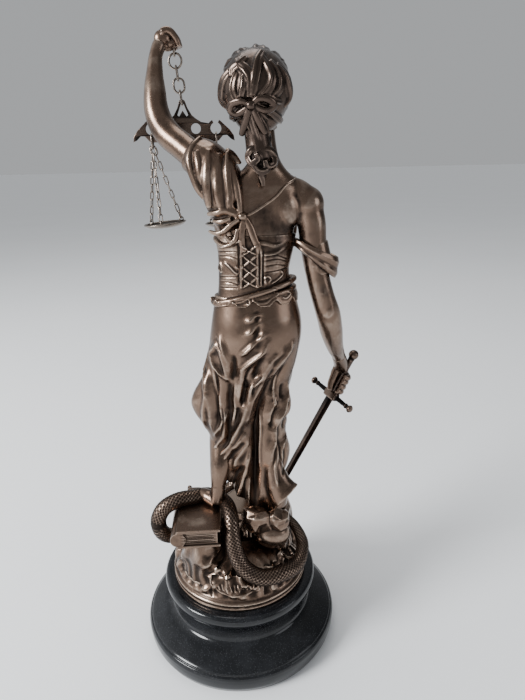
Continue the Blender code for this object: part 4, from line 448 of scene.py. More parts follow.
def hair(clay, flutes=0, depth=0.0):
    """Hair swept from the brow and temples to a knot, with rolled sides and a short curled tail."""
    ball(clay, HAIR_CENTRE, HAIR_RADII)
    ball(clay, (-19.6, 6.0, 352.0), (13.0, 10.4, 11.0))
    for order in range(9):
        turn = math.radians(-80 + 20 * order)
        start = (0.97 * math.sin(turn), -0.9 * math.cos(turn), 0.46 + 0.30 * math.cos(turn))
        end = (0.6 * math.sin(turn), 0.66, 0.74)
        combed(clay, start, end, 3.4 - 0.5 * (order % 2), 2.3, 0.08 if order % 2 else -0.06, flutes, depth)
    for side in (-1, 1):
        for rise, drop in ((0.42, 0.42), (0.10, 0.14), (-0.22, -0.12), (-0.52, -0.34), (-0.80, -0.50)):
            combed(clay, (side * 0.97, -0.34 + 0.2 * abs(rise), rise), (side * 0.5, 0.8, drop), 2.7, 2.0, 0.06, flutes,
                   depth)
    for wide, thin, *knots in BACK_LOCKS:
        band(clay, HAIR_CENTRE, wide, thin, *knots, flutes=flutes, depth=depth)
    rod(clay, (-17, 12.2, 351, 5.6), (-18.4, 11.4, 342, 5.4), (-20, 11.8, 332, 6.6), (-20.4, 13.0, 326, 5.4),
        (-21, 14.4, 319, 2.4), (-21.3, 14.8, 314.6, 1.0))
    for wide, thin, *knots in NAPE_LOCKS:
        band(clay, TAIL_HUB, wide, thin, *knots, flutes=flutes, depth=depth)


def blindfold_bow(clay):
    """The blindfold's knot, two loops and two tails at the back of the head."""
    ball(clay, (-15.2, 22.0, 354.3), (2.5, 2.2, 2.4))
    ribbon = (((-13.9, 21.4, 354.4), (-9.9, 21.6, 356.0), (-5.0, 18.4, 355.0), (-4.2, 16.6, 351.8), (-7.7, 17.6, 349.8),
               (-13.0, 20.6, 352.6)),
              ((-16.0, 22.6, 355.0), (-20.1, 24.0, 357.2), (-25.4, 23.0, 356.2), (-27.8, 21.2, 353.6),
               (-23.4, 21.6, 351.2), (-17.6, 21.8, 353.2)),
              ((-16.0, 21.4, 352.8), (-18.1, 20.6, 348.7), (-20.4, 19.2, 344.4), (-22.4, 17.6, 340.4)),
              ((-14.4, 21.4, 352.8), (-12.7, 19.4, 347.9), (-11.2, 17.0, 343.4), (-10.0, 14.8, 340.0)))
    for knots in ribbon:
        band(clay, HAIR_CENTRE, 2.0, 1.3, *knots)


# Ridges of the drape over the raised shoulder: half width, half thickness, then points along each.
SLEEVE_RIDGES = (
    (1.9, 1.7, (13.0, -1.0, 341.4), (18.0, 2.6, 336.4), (20.3, 4.8, 330.3), (20.0, 6.0, 325.0), (18.2, 7.0, 319.0),
     (15.8, 8.2, 312.8), (12.0, 9.2, 307.6)),
    (1.7, 1.6, (15.6, 6.6, 333.4), (15.0, 9.0, 328.0), (14.4, 10.0, 322.4), (12.6, 10.8, 317.0), (11.0, 11.2, 312.6)),
    (1.9, 1.7, (8.6, 7.4, 334.0), (9.8, 11.0, 327.0), (10.6, 12.4, 319.6), (10.5, 12.8, 312.0), (9.6, 12.4, 303.0)),
    (2.0, 1.8, (2.4, 8.0, 332.0), (3.6, 12.0, 325.0), (3.5, 13.8, 318.0), (3.6, 14.6, 311.0), (1.4, 14.6, 302.0),
     (-3.4, 15.0, 298.4)),
    (1.9, 1.8, (-3.2, 8.6, 332.6), (-2.8, 13.0, 325.0), (-3.2, 14.6, 317.0), (-3.8, 15.2, 309.0), (-3.4, 15.4, 303.0),
     (-6.4, 15.8, 298.0)),
    (1.7, 1.6, (-4.0, 7.6, 333.6), (-5.4, 12.0, 325.0), (-7.4, 14.4, 316.0), (-8.6, 15.4, 307.0), (-9.0, 15.8, 299.6)),
    (1.6, 1.5, (-2.6, 4.6, 334.6), (-5.8, 7.8, 331.6), (-9.6, 10.6, 326.6)),
    (1.6, 1.5, (10.4, 8.4, 298.6), (5.0, 13.4, 299.4), (0.2, 15.0, 300.4), (-4.6, 15.8, 298.8)),
    (1.6, 1.5, (10.0, 8.2, 289.0), (5.6, 12.6, 288.0), (1.0, 14.6, 289.4), (-3.4, 15.6, 293.2), (-7.8, 16.0, 296.0)),
    (1.5, 1.4, (7.6, 10.0, 294.8), (2.6, 14.0, 294.6), (-2.8, 15.4, 296.6)),
    (1.4, 1.4, (1.4, 13.8, 287.0), (-2.6, 14.8, 283.2), (-5.4, 15.4, 285.0), (-7.0, 15.8, 291.6)),
)

SLEEVE_HUB = (3.0, 0.0, 314.0)


def left_sleeve(clay):
    """The gathered drape over the raised shoulder, tied between the shoulder blades."""
    rod(clay, (17.5, -7.4, 332.0, 10.3), (10, -3.2, 327.2, 12.7), (3, 0.6, 318, 13.6), (-0.5, 3.0, 306, 12.2),
        (-2.5, 4.6, 296, 10.2), (-3, 5.8, 289, 7.6))
    for wide, thin, *knots in SLEEVE_RIDGES:
        band(clay, SLEEVE_HUB, RIDGE_SPREAD * wide, thin, *knots)
    for shift in (0.0, 1.0):
        rod(clay, (19.4 - 5 * shift, -7, 337.4, 1.8), (19.5 - 4 * shift, -15.0, 329.4, 2.2),
            (12.6 - 4 * shift, -16.2, 319, 2.4), (5 - 3 * shift, -14.0, 307, 2.2))


def tied_strap(clay):
    """The thin strap across the bare back, its knot and its hanging tails."""
    rod(clay, (-41.5, -3, 318.0, 0.9), (-40.2, 5, 317.0, 0.9), (-34.4, 10.2, 313.8, 0.9), (-28.6, 12.2, 308.2, 0.9),
        (-20.8, 13.2, 303.0, 0.9), (-14.6, 14.2, 299.6, 0.95), (-10, 15.0, 297.8, 1.1))
    ball(clay, (-9.4, 15.8, 298.2), (2.7, 2.2, 2.3))
    tails = (((-9.6, 15.8, 297.0), (-8.6, 15.4, 291.4), (-8.2, 15.4, 284.6), (-9.4, 15.2, 278.0)),
             ((-11.0, 16.0, 297.4), (-13.8, 15.8, 291.6), (-16.0, 15.8, 285.0), (-19.4, 15.4, 277.0)))
    for knots in tails:
        band(clay, (-14, -4, 288), 2.3, 1.5, *knots)


def belt_height(x, lift):
    """The tilt of the belt: higher at the figure's right hip."""
    return 250.0 + lift - (0.20 + 0.025 * lift) * (x + 14)


def peplum_edge(angle):
    """The scalloped lower edge of the short skirt under the belt."""
    return 245.8 + 3.6 * abs(math.cos(6 * (angle - math.radians(27)))) ** 5


BELT_CENTRE = (-15.6, 0.9)

BELT_HALF = (24.8, 14.6)


def corset(clay):
    """The laced bodice: its hem, panel edges, twin tie belt and scalloped peplum."""
    loft(clay, (244, -16, 1.8, 23.6, 14.0), (254, -15.8, 1.4, 22.2, 13.4), (258, -15.8, 1.4, 21.8, 13.2), (266, -15.8, 1.2, 21.4, 13.2),
         (276, -17, 0.8, 22.6, 13.8), (283, -17, 0.4, 23.6, 14.2), (287, -17, 0.2, 23.4, 13.8), count=48)
    rod(clay, (-7.9, 14.0, 284.0, 0.9), (-7.8, 14.4, 272.5, 0.9), (-7.3, 14.8, 257.0, 0.9))
    rod(clay, (-17.3, 14.4, 280.6, 0.9), (-17.6, 14.3, 272.3, 0.9), (-17.2, 14.8, 257.0, 0.9))
    rod(clay, (-19.6, 14.2, 279.6, 0.7), (-19.5, 14.1, 270.0, 0.7), (-19.0, 14.7, 257.5, 0.7))
    rod(clay, (-17.2, 14.6, 283.4, 1.1), (-22.5, 14.0, 282.2, 1.4), (-27.2, 12.6, 281.0, 1.5),
        (-33, 9.4, 282.2, 1.5), (-38.8, 3.4, 285.2, 1.4), (-40.6, -2, 285.0, 1.3), (-36, -11.5, 283, 1.4),
        (-29, -16.5, 283, 1.4), (-20, -14.5, 281, 1.3), (-10, -16.5, 283, 1.4), (0, -12.5, 284, 1.4),
        (6.4, -2, 285, 1.4), (5.4, 6, 283, 1.3), (1.0, 11.4, 281.6, 1.3), (-7.6, 14.4, 284.5, 1.1))
    rod(clay, (-19.0, 14.2, 276.2, 1.0), (-25.4, 13.2, 276.2, 1.3), (-32.4, 10.0, 278.6, 1.3), (-38.4, 3.6, 282.4, 1.2))
    cx, cy = BELT_CENTRE
    for lift, size in ((2.6, 1.7), (-0.4, 1.5)):
        knots = []
        for step in range(25):
            angle = 2 * math.pi * step / 24
            x = cx + BELT_HALF[0] * math.cos(angle)
            knots.append((x, cy + BELT_HALF[1] * math.sin(angle), belt_height(x, lift), size))
        rod(clay, *knots, resolution=3)
    sections = []
    for step in range(120):
        angle = 2 * math.pi * step / 120
        low = peplum_edge(angle)
        x = cx + 26.4 * math.cos(angle)
        top = belt_height(x, 0.0)
        outer = ((27.4, 17.4, low), (25.6, 15.4, top))
        inner = ((22.6, 12.4, top), (24.4, 14.4, low + 0.4))
        sections.append([at(cx + half_x * math.cos(angle), cy + half_y * math.sin(angle), z)
                         for half_x, half_y, z in outer + inner])
    hoop(clay, sections)


def right_sleeve(clay):
    """The off-shoulder sleeve: a cloth band round the upper arm, flaring open at its outer side."""
    sections = []
    for step in range(48):
        angle = 2 * math.pi * step / 48
        cosine, sine = math.cos(angle), math.sin(angle)
        wave = 0.5 * math.sin(5 * angle + 0.6)
        profile = ((14.0, 10.4, 278.2 + 6.2 * cosine), (14.6, 11.6 + wave, 275.4 + 7.2 * cosine),
                   (13.6, 10.6, 272.8 + 8.2 * cosine), (13.8, 11.2 - wave, 270.6 + 9.0 * cosine),
                   (12.2, 9.8, 268.4 + 9.8 * cosine), (10.6, 8.2, 268.8 + 9.6 * cosine),
                   (11.6, 8.8, 274.0 + 7.6 * cosine), (12.6, 9.0, 277.8 + 6.2 * cosine))
        sections.append([at(-53.4 + half_x * cosine, 1.4 + half_y * sine, z) for half_x, half_y, z in profile])
    hoop(clay, sections)
    rod(clay, (-53, 1, 281, 7.8), (-55, 1, 268, 9.0), (-56, 1, 262, 8.0))


# The skirt's outline by height: (z, left x, right x, back y, front y), in drawn units.
SKIRT_OUTLINE = (
    (251, 8.8, -41.0, 15.0, -14.0),
    (243, 9.8, -42.9, 17.4, -15.4),
    (234, 11.4, -44.8, 19.6, -16.2),
    (224, 13.0, -45.0, 20.4, -16.8),
    (213, 14.4, -43.2, 18.6, -17.6),
    (203, 16.2, -41.0, 15.2, -18.6),
    (193, 21.4, -37.8, 13.0, -20.4),
    (185, 26.0, -37.0, 12.4, -21.4),
    (178, 27.8, -38.4, 12.2, -21.2),
    (170, 25.2, -38.0, 12.2, -19.6),
    (162, 20.4, -33.6, 12.0, -18.0),
    (152, 16.4, -35.2, 12.2, -17.4),
    (141, 16.0, -37.6, 12.6, -18.0),
    (131, 14.0, -36.2, 13.0, -19.2),
    (122, 11.6, -33.4, 13.6, -20.8),
    (113, 8.4, -35.6, 14.2, -22.2),
    (103, 6.4, -35.8, 14.6, -23.2),
    (95, 5.6, -35.0, 14.0, -23.0),
)

# Skirt folds: (side, height, width, (x, z), (x, z), ...), ridges above zero and hollows below it.
SKIRT_FOLDS = (
    (BACK, 2.0, 2.6, (14, 215), (17, 206), (17, 197), (17, 186), (19, 175), (19, 161)),
    (BACK, 1.8, 2.2, (15, 205), (15, 192), (15, 182), (14, 161)),
    (BACK, 2.2, 2.0, (9, 222), (12, 215), (11, 208), (7, 202), (4, 199)),
    (BACK, 2.0, 2.0, (9, 222), (6, 217), (4, 208), (2, 196)),
    (BACK, 1.7, 1.9, (7, 227), (4, 218), (2, 211), (1, 202)),
    (BACK, 2.2, 2.2, (-20, 230), (-14, 224), (-9, 219), (-7, 216)),
    (BACK, 2.7, 2.4, (-22, 224), (-19, 218), (-12, 212), (-7, 207), (-6, 199), (-4, 188), (-3, 181)),
    (BACK, 2.9, 2.4, (-30, 216), (-24, 211), (-20, 205), (-16, 198), (-11, 192), (-9, 183), (-5, 170), (2, 154),
     (8, 145), (14, 134)),
    (BACK, 2.3, 2.2, (-24, 208), (-20, 201), (-17, 193), (-12, 184), (-10, 176), (-7, 165)),
    (BACK, 2.4, 2.3, (-7, 162), (-3, 154), (3, 146), (11, 133), (14, 126)),
    (BACK, 2.0, 2.2, (-7, 160), (-8, 153), (-4, 146), (-1, 141), (1, 133)),
    (BACK, 2.6, 2.5, (-10, 150), (-9, 142), (-6, 130), (-2, 116), (1, 107)),
    (BACK, 1.9, 2.0, (4, 176), (6, 170), (9, 164), (13, 157)),
    (BACK, 1.7, 1.9, (7, 164), (7, 157), (10, 152), (16, 142)),
    (BACK, 3.0, 2.7, (-35, 183), (-33, 174), (-28, 167), (-25, 161), (-25, 153), (-23, 145), (-22, 137), (-23, 128)),
    (BACK, 1.7, 1.9, (-28, 183), (-26, 180), (-23, 173), (-22, 165)),
    (BACK, 2.4, 2.5, (-38, 222), (-34, 215), (-27, 206), (-24, 198)),
    (BACK, 1.6, 2.0, (-35, 192), (-35, 186), (-34, 180)),
    (BACK, 2.2, 2.4, (-35, 152), (-31, 148), (-30, 142), (-30, 135)),
    (BACK, 1.4, 2.4, (-18, 242), (-14, 240), (-11, 237)),
    (BACK, 1.4, 2.4, (-18, 238), (-14, 233), (-10, 229)),
    (BACK, -2.8, 2.5, (2, 198), (3, 184), (3, 172), (4, 166), (5, 152), (9, 145)),
    (BACK, -1.9, 2.0, (-1, 216), (-1, 207), (0, 199)),
    (BACK, -2.0, 2.2, (-19, 214), (-16, 207), (-14, 200)),
    (BACK, -4.4, 3.2, (-26, 200), (-22, 188), (-18, 177), (-15, 165), (-14, 147), (-13, 129), (-12, 108)),
    (BACK, -2.4, 2.1, (11, 203), (11, 191), (11, 181), (11, 167)),
    (BACK, -2.2, 2.3, (-5, 136), (0, 130), (3, 123), (5, 116)),
    (BACK, -2.0, 1.9, (-9, 198), (-7, 190), (-6, 181)),
    (BACK, -1.7, 1.8, (-32, 192), (-32, 186), (-32, 181)),
    (BACK, -2.0, 2.0, (-29, 176), (-26, 171), (-24, 161)),
    (BACK, -2.0, 2.0, (-3, 178), (-2, 170), (2, 161)),
    (BACK, -2.0, 2.0, (0, 149), (4, 141), (8, 137)),
    (BACK, -2.2, 2.3, (-33, 207), (-28, 196), (-25, 186)),
    (BACK, -1.8, 2.6, (-16.4, 243), (-16.2, 232), (-15.0, 222)),
    (FRONT, 3.0, 4.0, (-14, 246), (-4, 226), (6, 206), (10, 186), (8, 166), (6, 146), (4, 124), (3, 100)),
    (FRONT, 2.6, 3.6, (-17, 246), (-12, 222), (-6, 198), (-4, 174), (-5, 150), (-6, 126), (-7, 98)),
    (FRONT, 3.0, 4.0, (-19, 246), (-20, 222), (-19, 196), (-17, 170), (-16, 144), (-16, 120), (-17, 96)),
    (FRONT, 2.6, 3.6, (-24, 244), (-30, 222), (-31, 198), (-28, 172), (-26, 148), (-26, 122), (-27, 96)),
    (FRONT, 2.4, 3.4, (-32, 240), (-38, 220), (-38, 198), (-34, 178), (-33, 156), (-32, 132), (-32, 100)),
    (FRONT, -3.2, 3.4, (-12, 236), (-6, 212), (1, 192), (2, 170), (1, 148), (-1, 122), (-2, 96)),
    (FRONT, -3.0, 3.2, (-17, 232), (-14, 208), (-11, 184), (-11, 158), (-11, 132), (-12, 96)),
    (FRONT, -3.2, 3.4, (-22, 234), (-25, 210), (-24, 184), (-22, 158), (-21, 132), (-22, 96)),
    (FRONT, -2.4, 3.0, (-30, 228), (-35, 206), (-33, 184), (-30, 160), (-29, 134), (-29, 96)),
)
FOLD_DEPTH = 1.2
HEM_HEIGHTS = ((0, 137), (40, 122), (70, 106), (100, 99), (150, 97), (200, 96), (250, 95), (285, 96), (315, 128),
               (335, 142), (360, 137))


def skirt_station(z):
    """(left, right, back, front) reach of the skirt at a height, running smoothly between its stations."""
    return [float(np.interp(z, SKIRT_TABLE[:, 0], SKIRT_TABLE[:, column])) for column in range(1, 5)]


def fold_rise(fold, angle, z):
    """How far one fold lifts the cloth at an angle and height, and falls off at its ends."""
    side, height, width = fold[:3]
    path = np.array(fold[3:])[::-1]
    if z < path[0, 1] - 6 or z > path[-1, 1] + 6 or side * math.sin(angle) < -0.2:
        return 0.0
    left, right, back, front = skirt_station(z)
    middle = 0.5 * (left + right)
    half = 0.5 * (left - right)
    x = float(np.interp(z, path[:, 1], path[:, 0]))
    share = max(-1.0, min(1.0, (x - middle) / half))
    centre = math.acos(share) * side
    turn = (angle - centre + math.pi) % (2 * math.pi) - math.pi
    span = half if abs(share) < 0.8 else 0.8 * half
    away = turn * span / width
    span_z = path[-1, 1] - path[0, 1]
    down = (z - path[0, 1]) / span_z
    taper = max(0.0, min(1.0, (down + 0.08) / 0.22)) * max(0.0, min(1.0, (1.08 - down) / 0.28))
    return FOLD_DEPTH * height * taper * math.exp(-abs(away) ** 1.7)


def skirt(clay, around=340, step=0.7):
    """The long skirt: an outline read off by height, with its folds laid over it."""
    top = SKIRT_OUTLINE[0][0]
    angles = [2 * math.pi * i / around for i in range(around)]
    hem_angles = [math.radians(entry[0]) for entry in HEM_HEIGHTS]
    hems = [float(np.interp(angle, hem_angles, [entry[1] for entry in HEM_HEIGHTS])) for angle in angles]
    rows = int((top - min(hems)) / step)
    rings = []
    for row in range(rows + 1):
        ring = []
        for angle, hem in zip(angles, hems):
            z = hem + (top - hem) * row / rows
            left, right, back, front = skirt_station(z)
            half_x = 0.5 * (left - right)
            half_y = back if math.sin(angle) > 0 else -front
            rise = sum(fold_rise(fold, angle, z) for fold in SKIRT_FOLDS)
            x = 0.5 * (left + right) + (half_x + rise) * math.cos(angle)
            y = (half_y + rise) * math.sin(angle)
            ring.append(at(x, y, z))
        rings.append(ring)
    skin_rings(clay, rings)


def horn(clay, stations, count=64):
    """A loft along a bent path: each station is (centre, axis, radius across, radius along the back)."""
    rings = []
    for centre, axis, across, deep in stations:
        axis = Vector(axis).normalized()
        side = Vector((0, 1, 0)).cross(axis).normalized()
        back = axis.cross(side)
        ring = []
        for step in range(count):
            angle = 2 * math.pi * step / count
            spoke = side * (across * math.cos(angle)) + back * (deep * math.sin(angle))
            ring.append(at(*(Vector(centre) + spoke)))
        rings.append(ring)
    skin_rings(clay, rings)


def skirt_flare(clay):
    """The trumpet-shaped fold that the hem throws out at the right heel, open at its mouth."""
    horn(clay, (
        ((-24.0, 6, 152), (0.0, 0.0, -1.0), 3.0, 3.0),
        ((-25.0, 9, 141), (-0.05, 0.1, -1.0), 4.6, 4.2),
        ((-26.2, 12, 131), (-0.15, 0.15, -1.0), 6.4, 5.4),
        ((-28.0, 14, 122.5), (-0.35, 0.25, -0.9), 8.6, 6.6),
        ((-30.6, 15.6, 116.0), (-0.6, 0.35, -0.75), 10.8, 7.4),
        ((-33.0, 17.0, 113.0), (-0.68, 0.4, -0.6), 12.2, 8.0),
        ((-33.2, 17.1, 112.8), (-0.68, 0.4, -0.6), 10.2, 6.2),
        ((-30.2, 15.0, 117.0), (-0.6, 0.35, -0.75), 8.0, 4.8),
        ((-28.2, 13.6, 121.5), (-0.4, 0.25, -0.9), 4.0, 2.6),
    ))


def legs(clay):
    """The bare left calf and foot on the book, and the right foot in its sandal."""
    rod(clay, (4, -8, 172, 11), (8, -2, 150, 9.4), (10.4, 6, 134, 7.4), (12.6, 10, 120, 5.0), (13.6, 11.5, 112, 4.9),
        (14.4, 12, 108.8, 4.8))
    rod(clay, (14.0, 13, 108.6, 4.4), (20, 7.5, 110.4, 4.9), (27, 1, 109.0, 4.2), (33.5, -4, 107.6, 2.8))
    for toe in range(5):
        rod(clay, (30.0 + 0.9 * toe, 1.0 - 2.2 * toe, 108.0, 1.8), (35.5 - 0.3 * toe, -1.2 - 2.2 * toe, 107.0, 1.5))
    rod(clay, (-24, -2, 130, 8), (-28, 6, 110, 5.4), (-30, 8, 100, 5.4))
    rod(clay, (-30, 9, 98.6, 5.2), (-31, -4, 99.4, 5.0), (-33, -18, 96.4, 4.4), (-34, -27, 94.2, 3.2))
    for toe in range(5):
        rod(clay, (-29.4 - 2.3 * toe, -24 + 0.6 * toe, 94.6, 2.0), (-30.2 - 2.3 * toe, -30.5 + 1.4 * toe, 93.6, 1.6))


def book(clay):
    """A thick closed book under the left foot, its rounded spine to the left rear."""
    block(clay, (26.2, 18.5, 99.4), (25.0, 37.0, 8.6))
    block(clay, (26.0, 18.6, 105.0), (28.0, 39.6, 1.8))
    block(clay, (26.0, 18.6, 93.8), (28.0, 39.6, 1.8))
    rod(clay, (39.0, -1, 99.4, 5.2), (39.0, 38.2, 99.4, 5.2))


SNAKE_PATH = (
    (-21, -6, 92, 1.4), (-31, 5, 91, 2.6), (-39.5, 11, 84.5, 3.4), (-44.0, 19, 75, 4.2), (-38.5, 32, 69.5, 4.8),
    (-26.5, 41, 70.5, 5.2), (-13.5, 43.6, 71.0, 5.4), (-3.0, 41, 76.5, 5.4), (2.6, 36.5, 86, 5.4), (4.4, 31, 97, 5.2),
    (5.0, 23, 105.5, 5.0), (9, 10, 107, 5.0), (20, 3, 108.4, 5.2), (31, 6, 109.2, 5.3), (41.0, 9, 109.6, 5.3),
    (50.4, 11, 105.0, 5.3), (54.8, 12, 95.6, 5.3), (52.6, 10, 84.4, 5.2), (45.6, 4, 77.6, 5.2), (39, -10, 74.8, 5.1),
    (31, -25, 75.0, 5.0), (19, -37, 77.4, 4.8), (7.5, -42.5, 81.6, 4.5), (0.5, -44.5, 87.0, 4.3), (-5.0, -46.0, 88.6, 4.4),
    (-10.5, -46.2, 87.2, 3.2),
)


def snake(clay):
    """The snake crushed under the book and heel: tail at the right, looped over the left edge, head in front."""
    rod(clay, *SNAKE_PATH)
    ball(clay, (-7.6, -46.2, 88.2), (5.2, 3.9, 3.2), (0, 8, 4))


def mound_rise(angle, share):
    """The flame-like relief of the rocky mound, by angle round it and share of its height."""
    warp = 1.5 * math.sin(3 * angle + 4.2 * share) + 0.8 * math.sin(7 * angle - 7.5 * share)
    crest = 0.5 + 0.5 * math.sin(15 * angle + 1.6 * warp + 1.6 * share)
    ripple = 0.5 + 0.5 * math.sin(26 * angle - 2.0 * warp - 4.0 * share)
    swell = math.sin(5 * angle + 5.5 * share + 1.1 * math.sin(4 * angle))
    return (2.8 * crest ** 1.5 + 1.1 * ripple ** 1.5 + 0.9 * swell - 1.8) * math.sin(math.pi * min(1.0, share * 1.1)) ** 0.6


def mound(clay, around=420):
    """The rocky mound, with the double ring round its foot."""
    edge = MOUND_RADIUS / UNIT
    profile = smooth_path(((47.6, -0.4), (47.9, 0.0), (49.6, 0.0), (50.1, -0.4), (50.4, -1.0), (50.9, -1.0), (51.2, -0.5),
                           (51.6, -0.2), (52.6, -0.2), (53.1, -0.8), (53.5, -1.9)), 4)
    body = smooth_path(((55, -2.4), (59, -3.2), (63, -4.4), (67, -6.4), (70.5, -9.0), (73.5, -12.5), (76, -17),
                        (78, -23), (79.5, -30)), 7)
    rings = []
    low, high = body[0][0], body[-1][0]
    angles = [2 * math.pi * i / around for i in range(around)]
    for z, inset in profile:
        rings.append([at((edge + inset) * math.cos(angle), (edge + inset) * math.sin(angle), z) for angle in angles])
    for z, inset in body:
        share = (z - low) / (high - low)
        reach = [edge + inset + mound_rise(angle, share) for angle in angles]
        rings.append([at(radius * math.cos(angle), radius * math.sin(angle), z) for radius, angle in zip(reach, angles)])
    skin_rings(clay, rings)
    loft(clay, (60, 22, 10, 19, 26), (78, 24, 13, 16, 23), (94, 25, 16, 12, 18))
    loft(clay, (60, -24, -4, 16, 26), (80, -26, -4, 13, 25), (92, -28, -6, 10, 21), (94.5, -29, -8, 7, 17))
    loft(clay, (60, -6, -10, 20, 26), (84, -6, -6, 18, 20), (98, -6, -4, 16, 16))


def crumple(clay, centre, radii, cell, depth, subdivisions=2):
    """A ball of crumpled cloth: flat faces that meet along sharp creases."""
    made = bmesh.ops.create_icosphere(clay, subdivisions=subdivisions, radius=1.0)
    for vert in made["verts"]:
        spot = Vector((vert.co[i] * radii[i] for i in range(3)))
        place = (spot + Vector(centre)) / cell * CRUMPLE_PACE
        spot += vert.co * (depth * 1.5 * noise.noise(place))
        spot += noise.noise_vector(place + Vector((5.0, 9.0, 2.0))) * (0.8 * depth)
        vert.co = at(*(Vector(centre) + spot))


CRUMPLE_PACE = 2.3


RIDGE_SPREAD = 1.4


SKIRT_TABLE = smooth_path(SKIRT_OUTLINE[::-1], 8)


def draped_rock(clay):
    """The boulder behind the heels with crumpled cloth fallen over it."""
    ball(clay, (-23.0, 21.0, 87.0), (12.0, 8.8, 10.0))
    crumple(clay, (-13.0, 22.5, 100.0), (10.4, 7.0, 9.4), 6.4, 2.6)
    crumple(clay, (-25.5, 21.5, 98.5), (9.4, 7.6, 8.4), 6.8, 2.6)


# Strokes on the finished skin: side, height, width, then (x, z) points; a height below zero is a groove.
DRAPE_STROKES = (
    (BACK, -1.5, 1.5, (-0.1, 325.0), (0.2, 315.2), (-1.1, 306.0)),
    (BACK, -1.3, 1.3, (-5.6, 325.5), (-6.0, 318.0), (-6.4, 311.0), (-6.0, 303.0)),
    (BACK, -1.6, 1.4, (17.4, 332.0), (16.6, 326.0), (15.6, 319.0), (13.6, 312.0)),
    (BACK, -1.4, 1.4, (6.8, 328.0), (7.2, 320.0), (7.0, 312.0), (5.6, 304.0)),
    (BACK, -1.2, 1.3, (12.6, 328.0), (12.4, 322.0), (12.4, 315.0)),
    (BACK, -1.2, 1.3, (8.0, 292.0), (3.0, 291.6), (-1.4, 293.4)),
    (BACK, -1.4, 1.4, (1.6, 297.6), (-2.6, 297.4)),
)


def carve(mesh, strokes):
    """Presses grooves and raises ridges along smooth strokes, drawn as seen from behind or in front."""
    count = len(mesh.vertices)
    points = np.empty(count * 3, np.float32)
    mesh.vertices.foreach_get("co", points)
    points = points.reshape(-1, 3).astype(np.float64)
    normals = np.empty(count * 3, np.float32)
    mesh.vertex_normals.foreach_get("vector", normals)
    normals = normals.reshape(-1, 3).astype(np.float64)
    moved = points.copy()
    flat = points[:, (0, 2)]
    for side, height, width, *knots in strokes:
        rows = smooth_path(knots)
        line = np.array([at(x, 0, z) for x, z in rows])[:, (0, 2)]
        lengths = np.concatenate([[0.0], np.cumsum(np.linalg.norm(np.diff(line, axis=0), axis=1))])
        reach = width * UNIT
        places = np.linspace(0, lengths[-1], max(2, int(lengths[-1] / (0.35 * reach))))
        line = np.stack([np.interp(places, lengths, line[:, axis]) for axis in range(2)], 1)
        facing = np.clip(normals[:, 1] * side * 4.0, 0.0, 1.0)
        inside = (flat > line.min(0) - 2.6 * reach).all(1) & (flat < line.max(0) + 2.6 * reach).all(1)
        near = np.nonzero(inside & (facing > 0))[0]
        if not len(near):
            continue
        squares = ((flat[near][:, None] - line[None]) ** 2).sum(2)
        share = squares.argmin(1) / (len(line) - 1)
        ends = np.clip(np.minimum(share, 1 - share) / 0.15 + 0.25, 0, 1)
        rise = height * UNIT * ends * facing[near] * np.exp(-squares.min(1) / reach ** 2)
        moved[near] += normals[near] * rise[:, None]
    mesh.vertices.foreach_set("co", moved.astype(np.float32).ravel())
    mesh.update()




def fused(lump, voxel, easing):
    """The lump as one closed skin, eased by that many smoothing passes; sealed pockets are dropped."""
    mesh = bpy.data.meshes.new("clay")
    lump.to_mesh(mesh)
    lump.free()
    holder = bpy.data.objects.new("clay", mesh)
    bpy.context.scene.collection.objects.link(holder)
    remesh = holder.modifiers.new("fuse", "REMESH")
    remesh.mode = "VOXEL"
    remesh.voxel_size = voxel
    ease = holder.modifiers.new("ease", "SMOOTH")
    ease.factor = 0.5
    ease.iterations = easing
    skin = take_mesh(holder)
    bpy.data.meshes.remove(mesh)
    return outer_shell(skin)


def outer_shell(mesh):
    """The same mesh with only its largest shell."""
    body = bmesh.new()
    body.from_mesh(mesh)
    body.verts.ensure_lookup_table()
    shell_of = [-1] * len(body.verts)
    shells = []
    for seed in body.verts:
        if shell_of[seed.index] >= 0:
            continue
        shell_of[seed.index] = len(shells)
        members = [seed]
        for vert in members:
            for edge in vert.link_edges:
                other = edge.other_vert(vert)
                if shell_of[other.index] < 0:
                    shell_of[other.index] = len(shells)
                    members.append(other)
        shells.append(members)
    shells.sort(key=len)
    for members in shells[:-1]:
        bmesh.ops.delete(body, geom=members, context="VERTS")
    body.to_mesh(mesh)
    body.free()
    return mesh


def triangle_count(mesh):
    mesh.calc_loop_triangles()
    return len(mesh.loop_triangles)


def eye_foot(side):
    return at(*HANG_POINT) + Vector((0, side * EYE_RADIUS, EYE_LIFT))


def welded(mesh):
    body = bmesh.new()
    body.from_mesh(mesh)
    bmesh.ops.remove_doubles(body, verts=body.verts, dist=1e-6)
    body.to_mesh(mesh)
    body.free()
    return mesh


def stadium_turn(direction, normal):
    """The rotation that stands a ring in the plane of direction and at right angles to normal."""
    up = direction.normalized()
    out = (normal - up * normal.dot(up)).normalized()
    side = out.cross(up)
    return Matrix((side, out, up)).transposed().to_4x4()


def wire_ring(centre, half_width, half_height, wire, up, normal, turns=4, sides=6):
    """A bent wire link with straight sides and round ends, closed on itself."""
    turn = stadium_turn(up, normal)
    straight = half_height - half_width
    points = []
    for end in (1, -1):
        for step in range(turns + 1):
            angle = math.pi * step / turns
            local = Vector((end * half_width * math.cos(angle), 0, end * (half_width * math.sin(angle) + straight)))
            if straight > 1e-6 or step < turns:
                points.append(centre + turn.to_3x3() @ local)
    mesh = curve_mesh(points, [wire] * len(points), 1, sides, cyclic=True, curve_type="POLY")
    return welded(mesh)


ACROSS = Vector((1, 0, 0))
BACKWARD = Vector((0, 1, 0))
UPWARD = Vector((0, 0, 1))
HANG_LEAN = math.radians(6.0)


